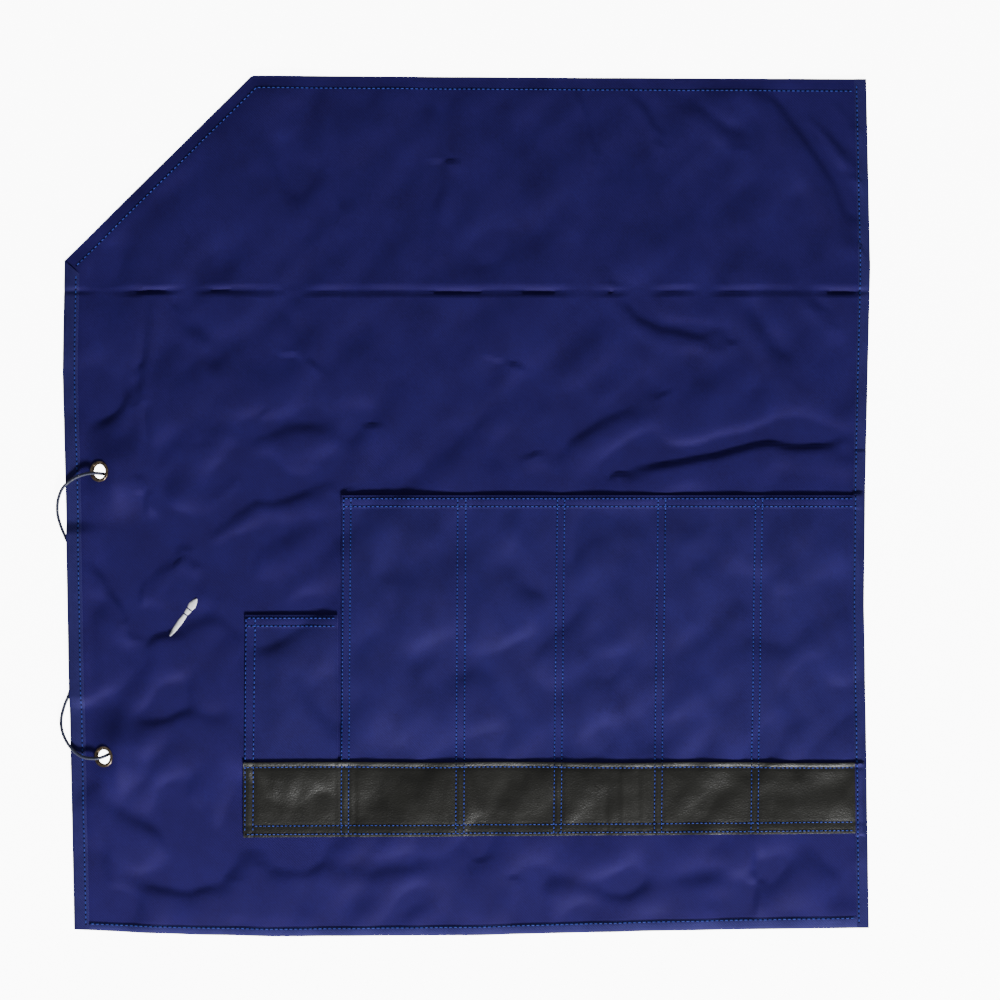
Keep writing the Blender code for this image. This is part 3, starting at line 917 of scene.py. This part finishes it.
def bend_spans(start, end):
    """The parts of a length across the case that belong to each seam, as (seam, start, end)."""
    for seam in range(1, LAST + 1):
        low = middle_of(seam - 1, POCKET_MIDDLE) if seam > 1 else -WELL_OUT
        high = middle_of(seam, POCKET_MIDDLE) if seam < LAST else WELL_OUT
        if start < high and end > low:
            yield seam, max(start, low), min(end, high)


def strip_across(name, start, end, y_low, y_high, lie, thickness, finish, slot, replaced, cell=PANEL_CELL):
    """A strip across several seams, in one piece for each seam that it bends at."""
    for seam, low, high in bend_spans(start, end(0)):
        stop = end if seam == LAST else level(high)
        made = lay(
            f"{name}_{seam}", level(low), stop, y_low, y_high, lie, thickness, finish, slot, cell=cell,
        )
        if slot != "hem_twill":
            declare(made, [f"panel_cloth_{seam}"], held="stretched")
        bend_at_seam(made, seam)
        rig.replaces(made, *replaced(seam))


def under_right_hem(y):
    return right_hem_inner(y) + UNDER_HEM


def sew_pocket(name, left, right, top, short, node):
    """A pocket's cloth and the hem along its mouth, which each stand for CAD nodes."""
    strip_across(
        f"{name}_pocket_cloth", left, right, level(POCKET_FOOT), level(top),
        short_lie if short else tall_lie, POCKET_CLOTH, pocket_finish, "pocket_twill",
        lambda seam: [node(seam)],
    )
    strip_across(
        f"{name}_mouth_hem", left, right, level(top - MOUTH_HEM), level(top + MOUTH_OVER),
        mouth_lie(short), MOUTH_CLOTH, pocket_finish, "hem_twill", lambda seam: [node(seam) + "_hem"],
    )


sew_pocket("tall", TALL_LEFT, under_right_hem, TALL_TOP, False, lambda seam: f"pocket_{seam - 2}")
sew_pocket("short", SHORT_LEFT, level(SHORT_RIGHT), SHORT_TOP, True, lambda seam: "pocket_short")

# Leather band: black grained leather over the bottoms of all the pockets, with a raw cut edge. It is
# stitched once along its top, twice along its bottom, and through the dividers.
LEATHER = 0.9
BAND_LEFT = -138.0
BAND_ROW_TOP = 3.0
BAND_ROW_FOOT = 1.9
BAND_ROW_GAP = 5.2
BAND_CURL = 0.6
BAND_CELL = 1.1
# Upright creases pressed into the leather, as (place across the case, half width, depth).
BAND_CREASES = [
    (-69, 1.5, 0.5), (86, 2.6, 0.55), (97, 1.8, -0.4), (106, 2.2, 0.5), (113, 1.6, 0.45), (189, 3, 0.5),
]


def band_top(x):
    return LEATHER_TOP + 0.4 - 0.0009 * (x + 138) + 0.25 * math.sin(x / 19)


def band_bottom(x):
    return -205.3 + 0.0068 * (x + 138)


def pocket_or_panel(x, y):
    """Height of what the band lies on."""
    y = max(y, POCKET_FOOT)
    if x >= TALL_LEFT:
        return tall_lie(x, y) + POCKET_CLOTH
    if x <= SHORT_RIGHT and x >= SHORT_LEFT:
        return short_lie(x, y) + POCKET_CLOTH
    return panel_top(x, y) + 0.35 + POCKET_CLOTH


def groove(distance, depth, width):
    return depth * math.exp(-((distance / width) ** 2))


def band_lie(x, y):
    """The band pressed down by its stitches, curling up at its free top edge."""
    down = band_top(x) - y
    rise = y - band_bottom(x)
    height = pocket_or_panel(x, y) + 0.05
    height += BAND_CURL * ease(1 - (down - 0.3) / (BAND_ROW_TOP - 0.6))
    height -= groove(down - BAND_ROW_TOP, 0.42, 1.2)
    inside = ease((down - BAND_ROW_TOP) / 9) * ease((rise - 8) / 8)
    swell = 0.3 + 0.4 * uneven(x / 7, y / 19, 7.7) + 0.22 * uneven(x / 17, y / 9, 2.2)
    near = min(abs(x - divider_x(row, y)) for pair in DIVIDERS + SHORT_ROWS for row in pair)
    pressed = sum(groove(x - place, depth, half) for place, half, depth in BAND_CREASES)
    height += swell * inside * ease(near / 8) - pressed * ease((down - 1) / 5)
    height -= groove(near, 0.3, 1.2) * ease((down - 1) / 3)
    between = min(abs(x - (divider_x(a, y) + divider_x(b, y)) / 2) for a, b in DIVIDERS + SHORT_ROWS)
    height += groove(between, 0.28, 1.4) * ease((down - 2) / 4)
    foot = abs(rise - BAND_ROW_FOOT - BAND_ROW_GAP / 2)
    height += 0.22 * uneven(x / 2.6, 3.3, 1.1) * (1 - ease((foot - 1.2) / 2))
    height -= groove(rise - BAND_ROW_FOOT, 0.18, 0.9) + groove(rise - BAND_ROW_FOOT - BAND_ROW_GAP, 0.25, 1.1)
    return height - 0.35 * (1 - ease(rise / 0.9)) - 0.25 * (1 - ease(down / 0.7))


def leather_finish():
    """Black leather: fine pebbled grain, soft creases, a satin surface with lighter worn high spots."""
    finish, shader, add, link = new_finish("black_leather", 0.42)
    shader.inputs["Specular IOR Level"].default_value = 0.32
    shader.inputs["Coat Weight"].default_value = 0.05
    shader.inputs["Coat Roughness"].default_value = 0.3
    place = add("ShaderNodeTexCoord").outputs["Object"]
    grain = add("ShaderNodeTexVoronoi", {"feature": "DISTANCE_TO_EDGE"}, Vector=place, Scale=640.0)
    folds = add("ShaderNodeTexNoise", Vector=place, Scale=240.0, Detail=8.0, Roughness=0.7, Distortion=1.6)
    patches = add("ShaderNodeTexNoise", Vector=place, Scale=45.0, Detail=3.0)
    join = grain.id_data.links.new
    mixed = add("ShaderNodeMix", A=0.5, B=0.5)
    mixed.inputs["Factor"].default_value = 0.5
    join(grain.outputs["Distance"], mixed.inputs["A"])
    join(folds.outputs["Fac"], mixed.inputs["B"])
    colours = (0.3, (0.0060, 0.0060, 0.0050)), (0.75, (0.014, 0.014, 0.0122))
    link(ramp(add, patches.outputs["Fac"], *colours), "Base Color")
    rough = add("ShaderNodeMapRange", Value=folds.outputs["Fac"], To_Min=0.34, To_Max=0.52)
    link(rough.outputs["Result"], "Roughness")
    dent(add, link, mixed.outputs["Result"], 0.7, 0.0005)
    return finish


black_leather = leather_finish()


def band_nodes(seam):
    nodes = [] if seam == 2 else [f"leather_{seam - 2}"]
    return nodes + (["leather_short"] if seam in (2, 3) else [])


strip_across(
    "leather_band", BAND_LEFT, under_right_hem, band_bottom, band_top, band_lie, LEATHER, black_leather,
    "leather", band_nodes, BAND_CELL,
)

# Side and bottom hems: the panel's edge turned twice to the front and stitched near the inner fold.
# They lie over the ends of the pockets and of the leather, and are a little lighter than the panel.
HEM_CLOTH = 0.5
HEM_CELL = 1.0
LEFT_HEM = 9.3
BOTTOM_HEM = 5.0
BOTTOM_HEM_SPREAD = 2.3
HEM_FALL = 0.3
HEM_SWELL = 0.12
HEM_PRESSED = 0.36
MITRE = 0.87
CORNER_Y = -262
CORNER_GAP = 0.1

hem_finish = twill_finish("hem_twill", (0.0085, 0.0074, 0.047), (0.0215, 0.0190, 0.116))
bottom_hem_finish = twill_finish("bottom_hem_twill", (0.0130, 0.0118, 0.064), (0.0310, 0.0290, 0.150))


def bottom_hem_width(x):
    left, right = BOTTOM_EDGE[0][0], BOTTOM_EDGE[-1][0]
    return BOTTOM_HEM + BOTTOM_HEM_SPREAD * (x - left) / (right - left)


def left_hem_inner(y):
    return left_edge(y) + LEFT_HEM


def bottom_hem_inner(x):
    return bottom_edge(x) + bottom_hem_width(x)


def left_mitre(x):
    return min(SLANT_LOW[1] - MITRE * (x - left_edge(SLANT_LOW[1])), slant(x))


def hem_rise(inward, width):
    """The section of a hem: low at its stitched inner edge, full in the middle, rounded at the outer fold."""
    swell = HEM_SWELL * math.sin(math.pi * min(max(inward / width, 0), 1))
    fold = HEM_FALL * (1 - ease(inward / 1.3)) ** 2
    pressed = HEM_PRESSED * (1 - ease((width - inward) / 2))
    return 0.06 + swell - fold - pressed


def right_stack(x, y):
    """What lies under the right hem: the panel, and the ends of the pockets and of the leather."""
    end = under_right_hem(y)
    share = 1 - ease((x - end + 1) / 2.4)
    base = panel_top(x, y)
    if y > TALL_TOP + 2:
        return base
    inner = min(x, end - 0.5)
    if band_bottom(x) - 1 < y < band_top(x):
        top = band_lie(inner, y) + LEATHER
    elif y > POCKET_FOOT:
        top = tall_lie(inner, min(y, TALL_TOP)) + POCKET_CLOTH
        if y > TALL_TOP - MOUTH_HEM:
            top += MOUTH_CLOTH * ease((TALL_TOP + 1.5 - y) / 2)
    else:
        top = base
    return base + max(top - base, 0) * share


def left_hem_lie(x, y):
    return panel_top(x, y) + hem_rise(x - left_edge(y), LEFT_HEM)


def right_hem_lie(x, y):
    return right_stack(x, y) + hem_rise(right_edge(y) - x, RIGHT_HEM)


def bottom_hem_lie(x, y):
    return panel_top(x, y) + hem_rise(y - bottom_edge(x), bottom_hem_width(x))


hems = []


def lay_hem(name, edges, lie, finish, cloth_under, *nodes):
    """A hem between its (left, right, lower, upper) edges, on a piece of cloth and for its CAD nodes."""
    made = lay(name, *edges, lie, HEM_CLOTH, finish, "hem_twill", cell=HEM_CELL)
    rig.replaces(made, *nodes)
    hems.append((made, cloth_under))
    return made


crease = level(CREASE_LOW)
sides = (left_edge, left_hem_inner)
made = lay_hem(
    "left_hem", (*sides, bottom_edge, crease), left_hem_lie, hem_finish, "panel_cloth_1", "hem_left",
)
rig.ride(made, "margin")
made = lay_hem(
    "left_hem_flap", (*sides, crease, left_mitre), left_hem_lie, hem_finish, "flap_cloth_0", "hem_left_flap",
)
bend_at_crease(made, 0)
sides = (right_hem_inner, right_edge)
made = lay_hem(
    "right_hem", (*sides, bottom_edge, crease), right_hem_lie, hem_finish, "panel_cloth_7", "hem_right",
)
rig.ride(made, "column_7")
made = lay_hem(
    "right_hem_flap", (*sides, crease, top_edge), right_hem_lie, hem_finish, "flap_cloth_7", "hem_right_flap",
)
bend_at_crease(made, 7)
corner = left_hem_inner(CORNER_Y) + CORNER_GAP
for seam in range(1, LAST + 1):
    start = level(corner) if seam == 1 else column_middle(seam - 1)
    stop = right_hem_inner if seam == LAST else column_middle(seam)
    nodes = [f"hem_bottom_{seam}"] + (["hem_bottom_0"] if seam == 1 else [])
    made = lay_hem(
        f"bottom_hem_{seam}", (start, stop, bottom_edge, bottom_hem_inner), bottom_hem_lie,
        bottom_hem_finish, f"panel_cloth_{seam}", *nodes,
    )
    bend_at_seam(made, seam)
panels = [f"panel_cloth_{seam}" for seam in range(1, LAST + 1)]
for name in panels + [f"flap_cloth_{index}" for index in range(LAST + 1)]:
    own = [hem for hem, cloth_name in hems if cloth_name == name]
    declare(bpy.data.objects[name], ["table_top"], own)

# Stitching: bright royal blue polyester thread in lock stitch. Each stitch is a rounded body of thread, between
# needle holes drawn as small near-black discs of painted shade where it goes down into the cloth.
THREAD = 0.6
STITCH_PROUD = 0.22
STITCH_SINK = 0.06
STITCH_HALF = 0.31
STITCH_SWAY = 0.07
HOLE_SIZE = 0.52
HOLE_DEPTH = 0.08
HOLE_PROUD = 0.15


def surface(x, y):
    """Height of the topmost layer at a point."""
    if x > right_hem_inner(y):
        return right_hem_lie(x, y) + HEM_CLOTH
    if x < left_hem_inner(y) and y < left_mitre(x):
        return left_hem_lie(x, y) + HEM_CLOTH
    if y < bottom_hem_inner(x):
        return bottom_hem_lie(x, y) + HEM_CLOTH
    if x >= BAND_LEFT and band_bottom(x) <= y <= band_top(x):
        return band_lie(x, y) + LEATHER
    for short, left, right, top in (
        (False, TALL_LEFT, WELL_OUT, TALL_TOP), (True, SHORT_LEFT, SHORT_RIGHT, SHORT_TOP),
    ):
        if left <= x <= right and POCKET_FOOT <= y <= top:
            if y > top - MOUTH_HEM:
                return mouth_lie(short)(x, y) + MOUTH_CLOTH
            return (short_lie if short else tall_lie)(x, y) + POCKET_CLOTH
    return panel_top(x, y)


def place_key(x, y):
    """Which joint a point of the case bends at."""
    if y < CREASE_LOW:
        return "seam", next((seam for seam in range(1, LAST) if x < middle_of(seam, y)), LAST)
    return "flap", sum(x > seam for seam in SEAMS)


def sample(points, pitch):
    """Even steps along a line of points."""
    line = [Vector((*point, 0)) for point in points]
    total = length_of(line)
    count = max(1, round(total / pitch))
    made, segment, run = [], 0, 0.0
    for step in range(count + 1):
        want = total * step / count
        while segment < len(line) - 2 and run + (line[segment + 1] - line[segment]).length < want:
            run += (line[segment + 1] - line[segment]).length
            segment += 1
        a, b = line[segment], line[segment + 1]
        made.append(a + (b - a) * ((want - run) / (b - a).length))
    return made


def curve_points(path, start, end, step=12.0):
    """A line of points along a function of one coordinate."""
    count = max(1, round(abs(end - start) / step))
    return [path(start + (end - start) * i / count) for i in range(count + 1)]


thread_groups = {}


def sew(points, pitch):
    """A row of stitches: each is filed under the joint that its place bends at."""
    ends = sample(points, pitch)
    for index, (a, b) in enumerate(zip(ends, ends[1:])):
        middle = (a + b) / 2
        heights = [surface(point.x, point.y) for point in (a, b)]
        sway = STITCH_SWAY * math.sin(index * 2.4)
        thread_groups.setdefault(place_key(middle.x, middle.y), []).append((a, b, heights, sway))


def left_row(y):
    return left_hem_inner(y) - 1.9, y


def right_row(y):
    return right_hem_inner(y) + 1.3, y


def top_row(x):
    return x, top_edge(x) - 7.5


def bottom_row(x):
    return x, bottom_hem_inner(x) - 1.0


SLANT_INSET = 10.4
sew(curve_points(left_row, -259, 143), 2.95)
sew(curve_points(lambda x: (x, slant(x) - SLANT_INSET), -241.5, -129.8, 40), 3.0)
sew(curve_points(top_row, -129.8, 239.5), 2.95)
sew(curve_points(right_row, -258, 261), 2.9)
sew(curve_points(bottom_row, -233, 240.5), 3.0)
for down in (1.9, 6.8):
    sew(curve_points(lambda x: (x, TALL_TOP - down), -75.6, 239.4), 2.75)
    sew(curve_points(lambda x: (x, SHORT_TOP - down + 0.1), -135.8, -81), 2.75)
for pair in DIVIDERS:
    for row in pair:
        sew(curve_points(lambda y: (divider_x(row, y), y), 4.6, -202.6), 2.5)
for row in SHORT_ROWS[0]:
    sew(curve_points(lambda y: (divider_x(row, y), y), -69.5, -201.5), 2.95)
sew(curve_points(lambda x: (x, band_top(x) - BAND_ROW_TOP), -136.4, 239.6), 2.65)
sew(curve_points(lambda x: (x, band_bottom(x) + BAND_ROW_FOOT), -136.4, 239.6), 2.65)
sew(curve_points(lambda x: (x, band_bottom(x) + BAND_ROW_FOOT + BAND_ROW_GAP), -131.5, 239.6), 2.65)


def thread_finish():
    """Polyester thread: two plies twisted together, with a silky shine."""
    finish, shader, add, link = new_finish("royal_blue_thread", 0.55)
    shader.inputs["Specular IOR Level"].default_value = 0.25
    place = add("ShaderNodeTexCoord").outputs["Object"]
    plies = add("ShaderNodeTexWave", Vector=place, Scale=900.0, Distortion=2.0)
    tone = add("ShaderNodeTexNoise", Vector=place, Scale=240.0)
    colours = (0.3, (0.016, 0.036, 0.27)), (0.7, (0.036, 0.075, 0.45))
    link(ramp(add, tone.outputs["Fac"], *colours), "Base Color")
    dent(add, link, plies.outputs["Fac"], 0.4, 0.0001)
    return finish


def hole_shade_finish():
    """The shade inside a needle hole."""
    finish, shader, add, link = new_finish("needle_hole", 1.0)
    shader.inputs["Specular IOR Level"].default_value = 0.0
    place = add("ShaderNodeTexCoord").outputs["Object"]
    tone = add("ShaderNodeTexNoise", Vector=place, Scale=300.0)
    colours = (0.3, (0.002, 0.002, 0.008)), (0.7, (0.004, 0.005, 0.016))
    link(ramp(add, tone.outputs["Fac"], *colours), "Base Color")
    return finish


def pattern_mesh(name, shape, mark):
    """One stitch or one needle hole's disc of painted shade, to be repeated."""
    bm = bmesh.new()
    shape(bm)
    for face in bm.faces:
        face.material_index = mark
    mesh = bpy.data.meshes.new(name)
    bm.to_mesh(mesh)
    bm.free()
    return mesh


def one_stitch(bm):
    along_x = Matrix.Rotation(math.pi / 2, 4, "Y")
    bmesh.ops.create_uvsphere(bm, u_segments=6, v_segments=5, radius=1, matrix=along_x)


def one_hole_shade_disc(bm):
    bmesh.ops.create_cone(
        bm, cap_ends=True, segments=6, radius1=HOLE_SIZE, radius2=HOLE_SIZE * 0.8, depth=HOLE_DEPTH,
    )


def repeat(bm, pattern, place):
    """Adds a pattern to a mesh at its place."""
    copy = pattern.copy()
    copy.transform(place)
    bm.from_mesh(copy)
    bpy.data.meshes.remove(copy)


royal_thread = thread_finish()
# Painted shade for the needle holes: a near-black colour on small discs, not real holes.
painted_hole_shade = hole_shade_finish()
stitch_pattern = pattern_mesh("stitch_pattern", one_stitch, 0)
hole_pattern = pattern_mesh("hole_pattern", one_hole_shade_disc, 1)
for (kind, index), stitches in sorted(thread_groups.items()):
    bm = bmesh.new()
    for a, b, heights, sway in stitches:
        run = b - a
        middle = (a + b) / 2
        middle.z = sum(heights) / 2 + STITCH_PROUD - STITCH_SINK
        rise = math.atan2(heights[1] - heights[0], run.length)
        turn = Matrix.Rotation(math.atan2(run.y, run.x) + sway, 4, "Z") @ Matrix.Rotation(-rise, 4, "Y")
        shape = Matrix.Diagonal((run.length * STITCH_HALF, THREAD / 2, THREAD * 0.42, 1))
        repeat(bm, stitch_pattern, Matrix.Translation(middle) @ turn @ shape)
        # At each stitch's near end a small near-black disc lies just over the cloth, as painted shade for the needle
        # hole.
        repeat(bm, hole_pattern, Matrix.Translation((a.x, a.y, heights[0] + HOLE_PROUD)))
    made = piece(f"stitches_{kind}_{index}", bm, royal_thread, "hem_twill", sharp=80)
    made.data.materials.append(painted_hole_shade)
    if kind == "seam":
        bend_at_seam(made, index)
    else:
        bend_at_crease(made, index)

# Eyelets: antique brass, each pressed through the panel over a washer behind it. The rolled flange
# stands proud of the cloth, and they tilt with the margin over the knots.
EYELET_HOLE_R = 4.5
EYELET_FLANGE_R = 6.5
EYELET_STEPS = 56


def brass_finish():
    """Antique brass: brown in the hollows, rubbed bright on the high spots."""
    finish, _, add, link = new_finish("antique_brass", 0.3, 1.0)
    place = add("ShaderNodeTexCoord").outputs["Object"]
    tarnish = add("ShaderNodeTexNoise", Vector=place, Scale=420.0, Detail=5.0)
    colours = (0.32, (0.08, 0.057, 0.04)), (0.55, (0.24, 0.18, 0.125)), (0.8, (0.5, 0.42, 0.32))
    link(ramp(add, tarnish.outputs["Fac"], *colours), "Base Color")
    rough = add("ShaderNodeMapRange", Value=tarnish.outputs["Fac"], To_Min=0.42, To_Max=0.24)
    link(rough.outputs["Result"], "Roughness")
    dent(add, link, tarnish.outputs["Fac"], 0.15, 0.0001)
    return finish


def turned_ring(name, profile, centre, finish):
    """A ring turned from a closed profile of (radius, height) points, tilted with the margin."""
    bm = bmesh.new()
    verts = [bm.verts.new((radius, 0, height)) for radius, height in profile]
    edges = [bm.edges.new((verts[i - 1], verts[i])) for i in range(len(verts))]
    bmesh.ops.spin(
        bm, geom=verts + edges, cent=(0, 0, 0), axis=(0, 0, 1), angle=2 * math.pi, steps=EYELET_STEPS,
        use_merge=True,
    )
    bmesh.ops.remove_doubles(bm, verts=bm.verts[:], dist=0.001)
    bmesh.ops.rotate(bm, verts=bm.verts[:], cent=(0, 0, 0), matrix=Matrix.Rotation(-EYELET_TILT, 3, "Y"))
    bmesh.ops.translate(bm, verts=bm.verts[:], vec=centre)
    return piece(name, bm, finish, "brass", sharp=40)


antique_brass = brass_finish()
FLANGE_BEND = [math.radians(a) for a in range(-60, 181, 20)]
for side, eyelet in EYELETS.items():
    centre = (eyelet.x, eyelet.y, panel_top(eyelet.x, eyelet.y) - PANEL_CLOTH / 2)
    middle_r = (EYELET_FLANGE_R + EYELET_HOLE_R) / 2
    half_r = (EYELET_FLANGE_R - EYELET_HOLE_R) / 2
    roll = [(middle_r + half_r * math.cos(a), 0.62 + 0.62 * math.sin(a)) for a in FLANGE_BEND]
    body = roll + [(EYELET_HOLE_R, -1.15), (EYELET_HOLE_R + 0.3, -1.15), (EYELET_HOLE_R + 0.3, 0.45)]
    body += [(EYELET_FLANGE_R - 0.55, 0.5)]
    ring = turned_ring(f"eyelet_ring_{side}", body, centre, antique_brass)
    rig.ride(ring, "margin")
    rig.replaces(ring, f"eyelet_{side}")
    back = [(EYELET_HOLE_R + 0.4, -1.2), (6.3, -1.2), (6.5, -1.0), (6.3, -0.8), (EYELET_HOLE_R + 0.4, -0.8)]
    washer = turned_ring(f"eyelet_washer_{side}", back, centre, antique_brass)
    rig.ride(washer, "margin")
    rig.replaces(washer, f"washer_{side}")

# Embroidered emblem: a plain paintbrush in white satin stitch, with a pointed tip, a ferrule and a
# long handle.
EMBLEM_FOOT = Vector((-183.6, -80.4))
EMBLEM_HEAD = Vector((-166.8, -57.4))
EMBLEM_PARTS = {
    "handle": (0.0, 0.56, [(0.0, 0.5), (0.25, 1.35), (0.7, 1.7), (1.0, 1.25)]),
    "ferrule": (0.59, 0.70, [(0.0, 1.55), (1.0, 1.85)]),
    "tip": (0.73, 1.0, [(0.0, 2.0), (0.35, 2.45), (0.75, 1.5), (1.0, 0.25)]),
}
EMBLEM_RISE = 0.6
SATIN_PITCH = 0.42


def embroidery_finish():
    """White rayon thread, laid side by side."""
    finish, shader, add, link = new_finish("white_embroidery_thread", 0.45)
    shader.inputs["Sheen Weight"].default_value = 0.2
    place = add("ShaderNodeTexCoord").outputs["Object"]
    tone = add("ShaderNodeTexNoise", Vector=place, Scale=500.0)
    colours = (0.3, (0.72, 0.73, 0.76)), (0.7, (0.93, 0.93, 0.95))
    link(ramp(add, tone.outputs["Fac"], *colours), "Base Color")
    return finish


white_thread = embroidery_finish()
axis = EMBLEM_HEAD - EMBLEM_FOOT
across = Vector((-axis.y, axis.x)).normalized()
for part, (start, end, widths) in EMBLEM_PARTS.items():
    run = axis.length * (end - start)
    rows = max(6, round(run / SATIN_PITCH) * 2)
    bm = bmesh.new()
    bmesh.ops.create_grid(bm, x_segments=8, y_segments=rows, size=0.5)
    for vert in bm.verts:
        u, v = vert.co.x * 2, vert.co.y + 0.5
        half = along(widths, v)
        spot = EMBLEM_FOOT + axis * (start + (end - start) * v) + across * (half * u)
        ridge = 0.09 * (round((vert.co.y + 0.5) * rows) % 2)
        dome = EMBLEM_RISE * (1 - u * u) ** 0.5 + ridge * (1 - abs(u))
        vert.co = (spot.x, spot.y, panel_top(spot.x, spot.y) + 0.02 + dome)
    made = bmesh.ops.extrude_face_region(bm, geom=bm.faces[:], use_keep_orig=True)
    lowered = [item for item in made["geom"] if isinstance(item, bmesh.types.BMVert)]
    for vert in lowered:
        vert.co.z = panel_top(vert.co.x, vert.co.y) - 0.1
    emblem = piece(f"emblem_{part}", bm, white_thread, "twill", sharp=70)
    bend_at_seam(emblem, 1)

case_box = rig.bounds()
with open("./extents.json", "w") as file:
    json.dump({"cad": [list(corner) for corner in cad_box], "visual": [list(corner) for corner in case_box]}, file)
